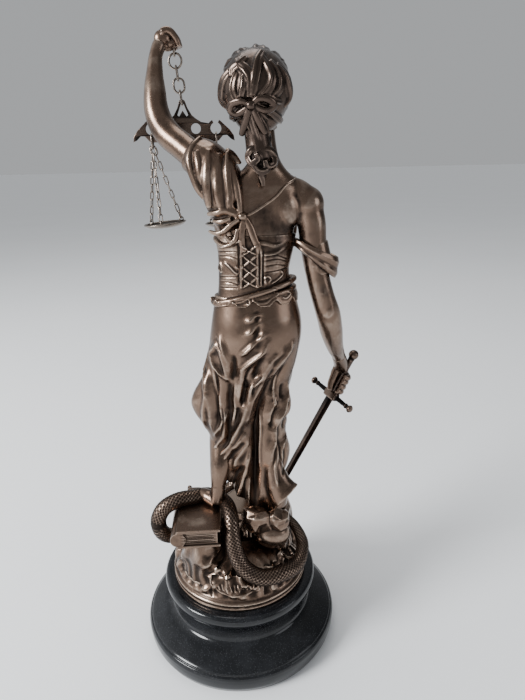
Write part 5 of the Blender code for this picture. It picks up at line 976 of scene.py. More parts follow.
def hang_line():
    """The eye's lowest inside point and the direction that the rings hang in."""
    bow = at(*HANG_POINT) + Vector((0, 0, EYE_LIFT - EYE_RADIUS))
    return bow, Vector((-math.sin(HANG_LEAN), 0, -math.cos(HANG_LEAN)))


def hang_stations():
    """(centre, half width, half height, normal) of each ring below the eye, then the beam's hanging point."""
    point, down = hang_line()
    sizes = ((HANG_RING_RADIUS, HANG_RING_RADIUS), (HANG_LINK_WIDTH, HANG_LINK_RADIUS),
             (HANG_LINK_WIDTH * 1.35, HANG_LINK_RADIUS), (HANG_LINK_WIDTH, HANG_LINK_RADIUS))
    gap = 2 * HANG_WIRE + LINK_SLACK
    stations = []
    level = point
    for order, (half_width, half_height) in enumerate(sizes):
        centre = level + down * (half_height - gap)
        if order == 0:
            normal = (BACKWARD * 0.94 + ACROSS * 0.34).normalized()
        else:
            normal = ACROSS if order % 2 else BACKWARD
        stations.append((centre, half_width, half_height, normal))
        level = centre + down * half_height
    return stations, level


def beam_centre():
    """The middle of the beam's bottom edge; its top eye sits round the last ring."""
    level = hang_stations()[1]
    return level + Vector((0, 0, HANG_WIRE + LINK_SLACK + BEAM_EYE_STRIP - BEAM_RISE))


def arc(cx, cz, radius, start, end, steps):
    """Points on a circle from one angle to another, in degrees."""
    points = []
    fine = steps * BEAM_FINENESS
    for step in range(fine + 1):
        turn = math.radians(start + (end - start) * step / fine)
        points.append((cx + radius * math.cos(turn), cz + radius * math.sin(turn)))
    return points


def beam_half_outline():
    """The right half of the beam's outline, from its peak round to the middle of its bottom edge."""
    span = BEAM_HALF_SPAN
    hole_z = BEAM_HOLE_HEIGHT
    lobe = END_HOLE_RADIUS + END_HOLE_WALL
    mouth = math.degrees(math.asin(0.4))
    outline = arc(0, BEAM_RISE - 0.0022, 0.0022, 90, 35, 3)
    outline += [(0.0031, BEAM_RISE - 0.0048), (0.0056, BEAM_RISE - 0.0090), (0.0080, BEAM_RISE - 0.0110),
                (0.0112, BEAM_RISE - 0.0130)]
    outline += arc(END_HOLE_OFFSET, hole_z, lobe, 145, 90 + mouth, 3)
    outline += arc(END_HOLE_OFFSET, hole_z, END_HOLE_RADIUS, 90 + mouth, 450 - mouth, 12)
    outline += arc(END_HOLE_OFFSET, hole_z, lobe, 90 - mouth, 40, 3)
    outline += [(span - 0.0030, hole_z - 0.0008), (span - 0.0005, hole_z - 0.0042), (span, hole_z - 0.0075),
                (span - 0.0022, hole_z - 0.0064), (span - 0.0048, hole_z - 0.0040), (span - 0.0074, hole_z - 0.0042),
                (END_HOLE_OFFSET + 0.0016, 0.0006), (END_HOLE_OFFSET - 0.0010, 0.0), (0.0070, 0.0),
                (0.0, 0.0010)]
    return outline


def end_hook(side):
    """The lowest inside point of the beam's end hole on one side (+1 is the raised arm's side)."""
    return beam_centre() + Vector((side * END_HOLE_OFFSET, 0, BEAM_HOLE_HEIGHT - END_HOLE_RADIUS))


def pan_down():
    return Vector((-math.sin(CHAIN_LEAN), 0, -math.cos(CHAIN_LEAN)))


def gather_half_height():
    strip = BEAM_HOLE_HEIGHT - END_HOLE_RADIUS
    return (strip + GATHER_DROP) / 2 + HANG_WIRE


def gather_centre(side):
    return end_hook(side) + Vector((0, 0, LINK_SLACK + HANG_WIRE - gather_half_height()))


def pan_centre(side):
    """The middle of the pan's rim plane."""
    top = gather_centre(side) - Vector((0, 0, gather_half_height()))
    return top + pan_down() * CHAIN_DROP


def pan_eye(side, order):
    """The middle of one of a pan's three rim eyes."""
    down = pan_down()
    angle = math.radians(85 + 120 * order)
    spread = Matrix.Rotation(-CHAIN_LEAN, 3, "Y").inverted() @ Vector((math.cos(angle), math.sin(angle), 0))
    return pan_centre(side) + spread * (PAN_RADIUS - PAN_WALL - PAN_EYE_RADIUS) - down * PAN_EYE_RADIUS


def turned(name, profile, steps):
    """A solid of revolution about Z; the profile runs down its outer side from axis to axis."""
    mesh = bpy.data.meshes.new(name)
    edges = [(i, i + 1) for i in range(len(profile) - 1)]
    mesh.from_pydata(profile, edges, [])
    holder = bpy.data.objects.new(name, mesh)
    bpy.context.scene.collection.objects.link(holder)
    screw = holder.modifiers.new("turn", "SCREW")
    screw.steps = steps
    screw.render_steps = steps
    screw.use_merge_vertices = True
    screw.merge_threshold = 0.00001
    solid = welded(take_mesh(holder))
    bpy.data.meshes.remove(mesh)
    return solid


def section_ring(centre, wide, thin, half_wide, half_thin, power, count=12):
    """One oval or lozenge section of the sword."""
    ring = []
    for step in range(count):
        angle = 2 * math.pi * step / count
        cosine, sine = math.cos(angle), math.sin(angle)
        scale = (abs(cosine) ** power + abs(sine) ** power) ** (-1 / power)
        ring.append(centre + wide * (half_wide * scale * cosine) + thin * (half_thin * scale * sine))
    return ring


def lofted(rings):
    body = bmesh.new()
    skin_rings(body, rings)
    bmesh.ops.recalc_face_normals(body, faces=body.faces)
    mesh = bpy.data.meshes.new("loft")
    body.to_mesh(mesh)
    body.free()
    return mesh


def chain_links(side, order):
    """(centre, half width, half length, up, normal) of each link of one chain, its links just touching."""
    low_point = gather_centre(side) - Vector((0, 0, gather_half_height()))
    start = low_point + BACKWARD * ((1 - order) * CHAIN_SPACING)
    if order != 1:
        bow = GATHER_HALF_WIDTH - HANG_WIRE - LINK_SLACK
        start.z += bow - math.sqrt(bow ** 2 - (CHAIN_SPACING + CHAIN_WIRE) ** 2)
    start.z += HANG_WIRE + LINK_SLACK + CHAIN_WIRE
    eye_top = pan_eye(side, order) + pan_down() * PAN_EYE_SINK - pan_down() * PAN_EYE_RADIUS
    end = eye_top + pan_down() * (2 * CHAIN_WIRE + LINK_SLACK)
    along = end - start
    down = along.normalized()
    touch = 2 * CHAIN_WIRE - CHAIN_BITE
    half = (along.length + (CHAIN_LINKS - 1) * touch) / (2 * CHAIN_LINKS)
    radial = pan_eye(side, order) - pan_centre(side)
    last_normal = (radial - down * radial.dot(down)).normalized()
    square = (BACKWARD - down * BACKWARD.dot(down)).normalized()
    twist = math.atan2(square.cross(last_normal).dot(down), square.dot(last_normal))
    quarter = math.pi / 2 * (CHAIN_LINKS - 1)
    turns = quarter + ((twist - quarter + math.pi / 2) % math.pi - math.pi / 2)
    links = []
    for link in range(CHAIN_LINKS):
        centre = start + down * (half + link * (2 * half - touch))
        turn = Matrix.Rotation(turns * link / (CHAIN_LINKS - 1), 3, down)
        width = CHAIN_HALF_WIDTH if link else HANG_WIRE + CHAIN_WIRE + 2 * LINK_SLACK
        links.append((centre, width, half, -down, turn @ square))
    return links


def fine_beam():
    """The balance beam: a flat pierced plate with a peaked top and hooked ends."""
    half = beam_half_outline()
    outline = half + [(-x, z) for x, z in reversed(half[1:-1])]
    apex = BEAM_RISE - BEAM_EYE_STRIP
    foot = apex - 0.0075
    crown = BEAM_CROWN_RADIUS
    eye = arc(0, apex - crown, crown, 180, 0, 4)
    eye += [(0.0034, foot + 0.0008), (0.0023, foot), (0.0, foot + 0.0034), (-0.0023, foot), (-0.0034, foot + 0.0008)]
    holes = [eye]
    for side in (-1, 1):
        holes.append(arc(side * BEAM_HOLE_OFFSET, BEAM_HOLE_HEIGHT, BEAM_HOLE_RADIUS, 0, 330, 11))
    curve = bpy.data.curves.new("beam", "CURVE")
    curve.dimensions = "2D"
    curve.fill_mode = "BOTH"
    curve.extrude = BEAM_THICKNESS / 2 - BEAM_BEVEL
    curve.bevel_depth = BEAM_BEVEL
    curve.bevel_resolution = 2
    curve.offset = -BEAM_BEVEL
    for loop in [outline] + holes:
        spline = curve.splines.new("POLY")
        spline.points.add(len(loop) - 1)
        spline.use_cyclic_u = True
        for knot, (x, z) in zip(spline.points, loop):
            knot.co = (x, z, 0, 1)
    holder = bpy.data.objects.new("beam", curve)
    bpy.context.scene.collection.objects.link(holder)
    mesh = welded(take_mesh(holder))
    bpy.data.curves.remove(curve)
    mesh.transform(Matrix.Rotation(math.radians(90), 4, "X"))
    mesh.transform(Matrix.Translation(beam_centre()))
    return mesh


CORSET_STROKES = (
    (BACK, 0.75, 0.55, (-8.6, 281.6), (-12.8, 278.4), (-16.8, 276.6)),
    (BACK, 0.75, 0.55, (-16.8, 281.6), (-12.8, 278.4), (-8.6, 276.2)),
    (BACK, 0.75, 0.55, (-8.4, 276.2), (-12.8, 272.6), (-17.0, 269.6)),
    (BACK, 0.75, 0.55, (-17.0, 275.8), (-12.8, 272.6), (-8.4, 269.4)),
    (BACK, 0.75, 0.55, (-8.2, 269.4), (-12.6, 266.0), (-17.0, 262.8)),
    (BACK, 0.75, 0.55, (-17.0, 269.2), (-12.6, 266.0), (-8.2, 262.6)),
    (BACK, 0.70, 0.55, (-8.0, 262.6), (-12.4, 259.6), (-16.6, 257.4)),
    (BACK, 0.70, 0.55, (-16.6, 262.6), (-12.4, 259.6), (-8.0, 257.0)),
    (BACK, -0.8, 0.7, (-6.4, 283.4), (-6.4, 272.5), (-5.8, 258.0)),
    (BACK, -0.7, 0.6, (-18.5, 279.6), (-18.5, 272.0), (-18.1, 258.6)),
    (BACK, -0.7, 0.6, (-20.9, 278.4), (-20.8, 270.0), (-20.3, 258.6)),
    (BACK, 0.7, 0.6, (2.1, 271.9), (-1.4, 269.0), (-4.0, 266.2), (-6.0, 265.4), (-6.2, 268.2), (-4.4, 269.4)),
    (BACK, 0.7, 0.6, (4.6, 272.0), (3.4, 268.0), (3.6, 265.4), (5.4, 267.2), (5.2, 269.4)),
    (BACK, 0.7, 0.6, (-22.1, 258.9), (-21.2, 262.0), (-23.4, 263.4), (-25.0, 261.6), (-24.0, 259.8)),
    (BACK, 0.6, 0.6, (-25.6, 258.9), (-29.3, 260.9), (-32.4, 263.6), (-31.2, 266.0)),
    (BACK, 0.6, 0.6, (4.6, 280.3), (-1.8, 282.6), (-7.6, 284.5)),
)

# Fine creases in the laced cloth, as (x from, x to, height, fall) of each shallow groove.
CREASES = ((5.6, -6.0, 277.6, 0.8), (5.4, -6.0, 275.0, -0.9), (4.8, -6.0, 262.8, 0.9), (4.6, -5.8, 259.6, -0.8),
           (5.2, -6.0, 256.4, 0.6), (-21.4, -36.4, 272.6, -1.8), (-21.4, -36.0, 269.4, -1.2), (-21.2, -35.4, 265.8, 1.0),
           (-21.2, -36.8, 274.8, -3.0), (-21.4, -30.0, 256.6, -1.2))

PEPLUM_STROKES = (
    (BACK, 0.4, 0.6, (-1.0, 248.0), (-6.3, 248.9), (-11.1, 250.6), (-12.2, 248.2),
     (-9.0, 247.4)),
    (BACK, 0.4, 0.6, (-14.0, 250.8), (-15.7, 248.4), (-21.7, 248.2), (-25.3, 250.6), (-29.1, 252.6), (-27.0, 254.0)),
    (BACK, 0.4, 0.6, (-31.0, 250.6), (-34.4, 249.6), (-37.2, 252.0), (-35.0, 253.4)),
)

BOOK_STROKES = tuple((BACK, -0.4, 0.36, (37.4, level), (26.0, level - 0.1), (14.0, level))
                     for level in (96.2, 97.4, 98.6, 99.8, 101.0, 102.2, 103.2))

# Shallow marks on the mound that stand in for an inscription: a rim and a row of slanting strokes.
MARK_STROKES = ((BACK, 0.35, 0.6, (17.4, 66.4), (17.0, 62.2), (13.6, 59.4), (4.0, 58.6), (-6.0, 58.8), (-13.6, 60.6)),)
MARK_COUNT = 11

SKIRT_STROKES = (
    (BACK, 0.7, 1.1, (12, 209), (11, 196), (9, 184), (8, 172)),
    (BACK, 0.7, 1.0, (-2, 196), (-1, 186), (-1, 176), (1, 168)),
    (BACK, -0.8, 0.9, (-12, 208), (-9, 202), (-8, 194)),
    (BACK, -0.9, 0.9, (-18, 202), (-14, 196), (-12, 188)),
    (BACK, 0.6, 0.9, (-30, 205), (-27, 196), (-26, 186), (-28, 176)),
    (BACK, -0.9, 1.0, (-37, 178), (-34, 168), (-32, 158)),
    (BACK, 0.8, 1.0, (-27, 152), (-28, 143), (-26, 134), (-27, 124)),
    (BACK, -0.9, 1.0, (-32, 146), (-33, 138), (-31, 130)),
    (BACK, 0.7, 0.9, (-17, 176), (-17, 160), (-16, 146), (-16, 132)),
    (BACK, -0.8, 0.9, (8, 180), (7, 168), (9, 158)),
    (BACK, 0.7, 0.9, (13, 150), (12, 142), (14, 134)),
    (BACK, -0.8, 1.0, (-6, 128), (-5, 116), (-4, 104)),
    (BACK, 0.7, 0.9, (-9, 128), (-8, 116), (-8, 103)),
)


def fine_strokes():
    """The strokes laid by rule: creases in the bodice and the row of marks on the mound."""
    creases = [(BACK, -0.3, 0.5, (x, z), (0.5 * (x + end), z + 0.3), (end, z + fall)) for x, end, z, fall in CREASES]
    marks = list(MARK_STROKES)
    for order in range(MARK_COUNT):
        x = 14.6 - 2.6 * order
        drop = 0.4 * math.sin(2.3 * order)
        marks.append((BACK, 0.4, 0.5, (x + 0.5, 64.2 + drop), (x, 62.4), (x - 0.5, 60.6 + drop)))
    return creases, marks


def snake_rows(step):
    """Evenly spaced rows (x, y, z, radius) along the snake, in drawn units."""
    rows = smooth_path(SNAKE_PATH, 24)
    lengths = np.concatenate([[0.0], np.cumsum(np.linalg.norm(np.diff(rows[:, :3], axis=0), axis=1))])
    places = np.arange(0.0, lengths[-1], step)
    return places, np.stack([np.interp(places, lengths, rows[:, axis]) for axis in range(4)], 1)


SCALE_LENGTH = 2.5
SCALES_ROUND = 13
SCALE_RISE = 0.42


def scaled_snake(around=60, step=0.40):
    """The snake's skin: a net of domed scales over the back and plain plates along the belly."""
    places, rows = snake_rows(step)
    tangents = np.gradient(rows[:, :3], axis=0)
    rings = []
    body = bmesh.new()
    for place, row, tangent in zip(places, rows, tangents):
        along = tangent / np.linalg.norm(tangent)
        side = np.cross(along, (0.0, 0.0, 1.0))
        side /= np.linalg.norm(side)
        up = np.cross(side, along)
        ring = []
        for i in range(around):
            angle = 2 * math.pi * i / around
            length, turn = place / SCALE_LENGTH, SCALES_ROUND * i / around
            edges = [abs(2 * ((length + sign * turn) % 1.0) - 1) for sign in (1, -1)]
            scale = 1 - max(edges) ** 3
            plate = 1 - abs(2 * (length % 1.0) - 1) ** 4
            belly = min(1.0, max(0.0, (-math.sin(angle) - 0.55) / 0.2))
            size = min(1.0, row[3] / 3.6)
            radius = row[3] - 0.30 + SCALE_RISE * size * (scale * (1 - belly) + 0.8 * plate * belly)
            spoke = side * (radius * math.cos(angle)) + up * (radius * math.sin(angle))
            ring.append(at(*(row[:3] + spoke)))
        rings.append(ring)
    skin_rings(body, rings)
    mesh = bpy.data.meshes.new("snake")
    body.to_mesh(mesh)
    body.free()
    return mesh


def snake_head(clay):
    """A blunt, slightly flattened head with brows, eyes and a closed mouth."""
    rod(clay, (0.5, -44.5, 87.0, 4.1), (-5.0, -46.0, 88.6, 4.2), (-9.0, -46.2, 88.0, 3.6))
    ball(clay, (-7.6, -46.2, 88.4), (5.2, 3.9, 3.0), (0, 8, 4))
    ball(clay, (-8.6, -46.4, 86.4), (4.4, 3.2, 1.5), (0, 8, 4))
    for side in (-1, 1):
        ball(clay, (-8.6, -46.2 + 2.9 * side, 89.7), (1.1, 0.8, 0.8))
        rod(clay, (-6.0, -46.2 + 2.6 * side, 90.6, 0.5), (-8.4, -46.2 + 2.9 * side, 90.9, 0.7),
            (-10.6, -46.2 + 2.0 * side, 90.0, 0.4))


def fine_plinth():
    """The plinth turned finely, its corners eased and its neck a smooth hollow."""
    cap = MOUND_RADIUS + CAP_LEDGE
    neck = cap - NECK_INSET
    foot = cap + FOOT_SPREAD
    top, rim = PLINTH_HEIGHT, FOOT_THICKNESS
    cap_low, shoulder = top - CAP_THICKNESS, FOOT_THICKNESS + FOOT_SLOPE_RISE
    slope = Vector((foot - RIM_STEP - neck - 0.0040, rim - shoulder))
    outer = [(cap - 0.0052, top), (cap - 0.0034, top), (cap - 0.0013, top - 0.0008), (cap - 0.0002, top - 0.0024),
             (cap, top - 0.0048), (cap - 0.0006, top - 0.0074), (cap - 0.0022, top - 0.0098),
             (neck + 0.0004, cap_low - 0.0010), (neck, cap_low - 0.0040), (neck + 0.0004, shoulder + 0.0042),
             (neck + 0.0014, shoulder + 0.0018), (neck + 0.0040, shoulder),
             (neck + 0.0040 + slope.x / 3, shoulder + slope.y / 3 + 0.0004),
             (neck + 0.0040 + slope.x * 0.8, shoulder + slope.y * 0.8 + 0.0003), (foot - RIM_STEP - 0.0004, rim + 0.0001),
             (foot - RIM_STEP, rim - 0.0008), (foot - 0.0010, rim - 0.0013), (foot, rim - 0.0034),
             (foot, rim - 0.0062), (foot - 0.0006, rim - 0.0108), (foot - RIM_STEP - 0.0002, 0.0010),
             (foot - RIM_STEP - 0.0006, 0)]
    curve = [tuple(row) for row in smooth_path(outer, 5)]
    curve = [(min(radius, foot), min(max(z, 0.0), top)) for radius, z in curve]
    return turned("plinth", [(0, 0, top)] + [(radius, 0, z) for radius, z in curve] + [(0, 0, 0)], 144)


def fine_pan(side):
    """A thin dish with a rolled lip, and its three wire eyes."""
    inner = PAN_RADIUS - PAN_WALL
    profile = [(0.0, -PAN_DEPTH + PAN_WALL), (inner * 0.45, -PAN_DEPTH + PAN_WALL + 0.0001),
               (inner * 0.72, -PAN_DEPTH + PAN_WALL + 0.0005), (inner * 0.90, -PAN_DEPTH * 0.38), (inner - 0.0003, -0.0003),
               (PAN_RADIUS - PAN_WALL * 0.5, 0.0), (PAN_RADIUS, -PAN_WALL * 0.5), (PAN_RADIUS - PAN_WALL * 0.4, -PAN_WALL),
               (inner * 0.94, -PAN_DEPTH * 0.62), (inner * 0.74, -PAN_DEPTH + 0.0004), (inner * 0.4, -PAN_DEPTH),
               (0.0, -PAN_DEPTH)]
    rows = [(max(0.0, radius), 0, min(0.0, max(-PAN_DEPTH, z))) for radius, z in smooth_path(profile, 4)]
    dish = turned("dish", rows, 72)
    dish.transform(Matrix.Rotation(CHAIN_LEAN, 4, "Y"))
    dish.transform(Matrix.Translation(pan_centre(side)))
    meshes = [dish]
    for order in range(3):
        centre = pan_eye(side, order) + pan_down() * PAN_EYE_SINK
        radial = centre - pan_centre(side)
        meshes.append(wire_ring(centre, PAN_EYE_RADIUS, PAN_EYE_RADIUS, CHAIN_WIRE, -pan_down(), radial.cross(UPWARD),
                                turns=10, sides=10))
    return merged(meshes)


def merged(meshes):
    """Several closed meshes gathered as one."""
    body = bmesh.new()
    for mesh in meshes:
        body.from_mesh(mesh)
        bpy.data.meshes.remove(mesh)
    result = bpy.data.meshes.new("merged")
    body.to_mesh(result)
    body.free()
    return result


def fine_chain(side, order):
    """One fine chain of round wire links from the gathering link to a pan eye."""
    return merged([wire_ring(centre, width, half, CHAIN_WIRE, up, normal, turns=8, sides=10)
                   for centre, width, half, up, normal in chain_links(side, order)])


def fine_eye():
    """The staple in the hand, as smooth round wire."""
    centre = at(*HANG_POINT) + Vector((0, 0, EYE_LIFT))
    points = [eye_foot(-1) + Vector((0, 0, EYE_DEPTH)), eye_foot(-1)]
    for step in range(1, 16):
        angle = math.pi + math.pi * step / 16
        points.append(centre + Vector((0, EYE_RADIUS * math.cos(angle), EYE_RADIUS * math.sin(angle))))
    points += [eye_foot(1), eye_foot(1) + Vector((0, 0, EYE_DEPTH))]
    return welded(curve_mesh(points, [HANG_WIRE] * len(points), 1, 14, curve_type="POLY"))


def fine_sword():
    """The sword with a ball pommel, wound grip, knobbed guard and ridged blade."""
    guard, axis = sword_axis()
    wide = Vector(GUARD_DIRECTION)
    wide = (wide - axis * wide.dot(axis)).normalized()
    thin = axis.cross(wide)
    pommel = guard + axis * (GRIP_LENGTH + POMMEL_RADIUS * 0.8)
    hilt = []
    for step in range(19):
        turn = math.radians(4 + 134 * step / 18)
        radius = POMMEL_RADIUS * math.sin(turn)
        hilt.append(section_ring(pommel + axis * (POMMEL_RADIUS * math.cos(turn)), wide, thin, radius, radius, 2, 32))
    for step in range(90):
        share = 0.93 * (1 - step / 89)
        radius = GRIP_RADIUS * (0.97 + 0.03 * math.sin(2 * math.pi * 26 * share))
        hilt.append(section_ring(guard + axis * (GRIP_LENGTH * share), wide, thin, radius, radius, 2, 32))
    blade = []
    for share, width in smooth_path(((0.02, 1.0), (0.3, 0.96), (0.6, 0.9), (0.9, 0.8), (0.965, 0.45), (0.995, 0.08)), 6):
        centre = guard - axis * (BLADE_LENGTH * share)
        blade.append(section_ring(centre, wide, thin, BLADE_WIDTH / 2 * width, BLADE_THICKNESS / 2 * width ** 0.5, 1.2, 32))
    half = GUARD_SPAN / 2
    cross = []
    swells = ((-1.0, 0.12), (-0.985, 0.8), (-0.94, 1.25), (-0.9, 1.38), (-0.86, 1.25), (-0.81, 0.85), (-0.78, 0.72),
              (-0.72, 0.98), (-0.66, 0.72), (-0.3, 0.85), (-0.24, 1.42), (-0.2, 1.5), (0.2, 1.5), (0.24, 1.42), (0.3, 0.85),
              (0.66, 0.72), (0.72, 0.98), (0.78, 0.72), (0.81, 0.85), (0.86, 1.25), (0.9, 1.38), (0.94, 1.25),
              (0.985, 0.8), (1.0, 0.12))
    for share, swell in swells:
        radius = GUARD_RADIUS * swell
        power = 4.5 if abs(share) < 0.25 else 2.0
        cross.append(section_ring(guard + wide * (half * share), axis, thin, radius * 1.1, radius, power, 32))
    return merged([lofted(hilt + blade), lofted(cross)])


def thinned(mesh, triangles):
    """The mesh collapsed to at most that many triangles."""
    mesh.calc_loop_triangles()
    count = len(mesh.loop_triangles)
    if count <= triangles:
        return mesh
    holder = bpy.data.objects.new("thin", mesh)
    bpy.context.scene.collection.objects.link(holder)
    collapse = holder.modifiers.new("thin", "DECIMATE")
    collapse.ratio = triangles / count
    return take_mesh(holder)


def fused_piece(forms, voxel, easing):
    lump = bmesh.new()
    for form in forms:
        form(lump)
    return fused(lump, voxel * UNIT, easing)


# The metal finishes use this attribute for painted highlights on ridges and for painted shade in hollows.
def relief_attribute(mesh, fine=3, broad=18):
    """Writes how far each point lies in a hollow, at a fine and a broad scale, as the colour attribute relief."""
    count = len(mesh.vertices)
    points = np.empty(count * 3, np.float32)
    mesh.vertices.foreach_get("co", points)
    points = points.reshape(-1, 3)
    normals = np.empty(count * 3, np.float32)
    mesh.vertex_normals.foreach_get("vector", normals)
    normals = normals.reshape(-1, 3)
    edges = np.empty(len(mesh.edges) * 2, np.int32)
    mesh.edges.foreach_get("vertices", edges)
    ends = edges.reshape(-1, 2)
    first = np.concatenate([ends[:, 0], ends[:, 1]])
    second = np.concatenate([ends[:, 1], ends[:, 0]])
    degree = np.maximum(1, np.bincount(first, minlength=count))[:, None]
    smooth = points.astype(np.float64)
    depths = []
    for step in range(broad):
        total = np.stack([np.bincount(first, smooth[second, axis], count) for axis in range(3)], 1)
        smooth = 0.4 * smooth + 0.6 * total / degree
        if step + 1 in (fine, broad):
            depths.append(((smooth - points) * normals).sum(1))
    values = np.ones((count, 4), np.float32)
    for channel, (depth, scale) in enumerate(zip(depths, (FINE_RELIEF, BROAD_RELIEF))):
        values[:, channel] = np.clip(0.5 + 0.5 * depth / scale, 0, 1)
    layer = mesh.color_attributes.new("relief", "FLOAT_COLOR", "POINT")
    layer.data.foreach_set("color", values.ravel())


FINE_RELIEF = 0.00010
BROAD_RELIEF = 0.0006


def add_piece(name, mesh, material, slot, *nodes, angle=math.radians(50)):
    """A visible piece that rides on the root body and stands for the named nodes."""
    mesh.name = name
    mesh.materials.clear()
    mesh.materials.append(material)
    smooth_shaded(mesh, angle)
    relief_attribute(mesh)
    piece = bpy.data.objects.new(name, mesh)
    bpy.context.scene.collection.objects.link(piece)
    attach(piece, "root")
    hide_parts(*nodes)
    return piece


# Materials.


def node_material(name, metallic, roughness):
    material = bpy.data.materials.new(name)
    material.use_nodes = True
    tree = material.node_tree
    shader = tree.nodes["Principled BSDF"]
    shader.inputs["Metallic"].default_value = metallic
    shader.inputs["Roughness"].default_value = roughness
    return material, tree, shader


def linked(tree, kind, **settings):
    node = tree.nodes.new(kind)
    for key, value in settings.items():
        setattr(node, key, value)
    return node


def noise_node(tree, coords, scale, detail, roughness=0.5):
    node = linked(tree, "ShaderNodeTexNoise")
    node.inputs["Scale"].default_value = scale
    node.inputs["Detail"].default_value = detail
    node.inputs["Roughness"].default_value = roughness
    tree.links.new(coords.outputs["Object"], node.inputs["Vector"])
    return node


def ramp(tree, source, stops):
    node = linked(tree, "ShaderNodeValToRGB")
    elements = node.color_ramp.elements
    while len(elements) < len(stops):
        elements.new(0.5)
    for element, (place, colour) in zip(elements, stops):
        element.position = place
        element.color = (*colour, 1.0)
    tree.links.new(source, node.inputs["Fac"])
    return node


def mixed(tree, blend, factor, first, second):
    """Mixes two colours by a factor output or number; each colour is an output or a plain colour."""
    node = linked(tree, "ShaderNodeMix", data_type="RGBA", blend_type=blend)
    for socket, value in (("Factor", factor), ("A", first), ("B", second)):
        if isinstance(value, (int, float)):
            node.inputs[socket].default_value = value
        elif isinstance(value, tuple):
            node.inputs[socket].default_value = (*value, 1.0)
        else:
            tree.links.new(value, node.inputs[socket])
    return node.outputs["Result"]


def bumped(tree, shader, height, strength, distance):
    bump = linked(tree, "ShaderNodeBump")
    bump.inputs["Strength"].default_value = strength
    bump.inputs["Distance"].default_value = distance
    tree.links.new(height, bump.inputs["Height"])
    tree.links.new(bump.outputs["Normal"], shader.inputs["Normal"])


def bronze_material(name, bright, warm, dark, roughness=(0.19, 0.52)):
    """Cast bronze finish: a painted highlight on the sharp ridges, warm on the open surfaces, nearly black in the
    hollows, partly patina and partly painted shade.
    """
    material, tree, shader = node_material(name, 1.0, 0.35)
    coords = linked(tree, "ShaderNodeTexCoord")
    relief = linked(tree, "ShaderNodeVertexColor", layer_name="relief")
    split = linked(tree, "ShaderNodeSeparateColor")
    tree.links.new(relief.outputs["Color"], split.inputs["Color"])
    cloud = noise_node(tree, coords, 30.0, 5.0, 0.6)
    speck = noise_node(tree, coords, 420.0, 4.0, 0.65)
    # The near-black of the hollows: partly patina and partly painted shade.
    deep = tuple(0.55 * channel for channel in dark)
    base = ramp(tree, cloud.outputs["Fac"], ((0.30, dark), (0.44, warm), (0.60, warm), (0.78, bright)))
    # Masks of the broad and the fine hollows, where painted shade is laid over the patina.
    hollow = ramp(tree, split.outputs["Green"], ((0.48, (0, 0, 0)), (0.74, (1, 1, 1))))
    fine = ramp(tree, split.outputs["Red"], ((0.52, (0, 0, 0)), (0.80, (1, 1, 1))))
    # Painted highlight: the bright colour is mixed onto the sharpest ridges.
    ridge_highlight = ramp(tree, split.outputs["Red"], ((0.0, (0.75, 0.75, 0.75)), (0.38, (0, 0, 0))))
    colour = mixed(tree, "MIX", ridge_highlight.outputs["Color"], base.outputs["Color"], bright)
    colour = mixed(tree, "MIX", hollow.outputs["Color"], colour, deep)
    colour = mixed(tree, "MIX", fine.outputs["Color"], colour, deep)
    tree.links.new(colour, shader.inputs["Base Color"])
    gloss = linked(tree, "ShaderNodeMapRange")
    gloss.inputs["To Min"].default_value = roughness[0]
    gloss.inputs["To Max"].default_value = roughness[1]
    rough = mixed(tree, "ADD", 0.4, hollow.outputs["Color"], speck.outputs["Color"])
    tree.links.new(rough, gloss.inputs["Value"])
    tree.links.new(gloss.outputs["Result"], shader.inputs["Roughness"])
    bumped(tree, shader, speck.outputs["Fac"], 0.12, 0.0004)
    return material


def stone_material():
    """Polished black stone with fine pale speckle."""
    material, tree, shader = node_material("black_stone_polished", 0.0, 0.15)
    coords = linked(tree, "ShaderNodeTexCoord")
    grain = linked(tree, "ShaderNodeTexVoronoi")
    grain.inputs["Scale"].default_value = 1100.0
    tree.links.new(coords.outputs["Object"], grain.inputs["Vector"])
    patches = noise_node(tree, coords, 60.0, 4.0, 0.7)
    specks = ramp(tree, grain.outputs["Distance"], ((0.10, (0.06, 0.063, 0.068)), (0.24, (0.0035, 0.0038, 0.0045))))
    cloudy = ramp(tree, patches.outputs["Fac"], ((0.40, (0.0026, 0.0028, 0.0032)), (0.66, (0.010, 0.0105, 0.012))))
    colour = mixed(tree, "ADD", 0.8, specks.outputs["Color"], cloudy.outputs["Color"])
    tree.links.new(colour, shader.inputs["Base Color"])
    shader.inputs["Specular IOR Level"].default_value = 0.28
    shader.inputs["Coat Weight"].default_value = 0.10
    shader.inputs["Coat Roughness"].default_value = 0.06
    bumped(tree, shader, patches.outputs["Fac"], 0.02, 0.0005)
    return material


def floor_material():
    material, tree, shader = node_material("floor_pale", 0.0, 0.9)
    shader.inputs["Specular IOR Level"].default_value = 0.0
    coords = linked(tree, "ShaderNodeTexCoord")
    cloud = noise_node(tree, coords, 3.0, 3.0)
    tint = ramp(tree, cloud.outputs["Fac"], ((0.3, (0.93, 0.94, 0.95)), (0.7, (0.95, 0.96, 0.97))))
    tree.links.new(tint.outputs["Color"], shader.inputs["Base Color"])
    return material


def add_floor():
    mesh = bpy.data.meshes.new("floor")
    body = bmesh.new()
    bmesh.ops.create_grid(body, x_segments=4, y_segments=4, size=60.0)
    body.to_mesh(mesh)
    body.free()
    mesh.materials.append(floor_material())
    floor = bpy.data.objects.new("floor", mesh)
    floor.location.z = -0.0004
    bpy.context.scene.collection.objects.link(floor)


def add_light(name, place, target, size, power, colour=(1, 1, 1)):
    data = bpy.data.lights.new(name, "AREA")
    data.shape = "DISK"
    data.size = size
    data.energy = power
    data.color = colour
    light = bpy.data.objects.new(name, data)
    light.location = place
    light.rotation_euler = (Vector(target) - Vector(place)).to_track_quat("-Z", "Y").to_euler()
    bpy.context.scene.collection.objects.link(light)


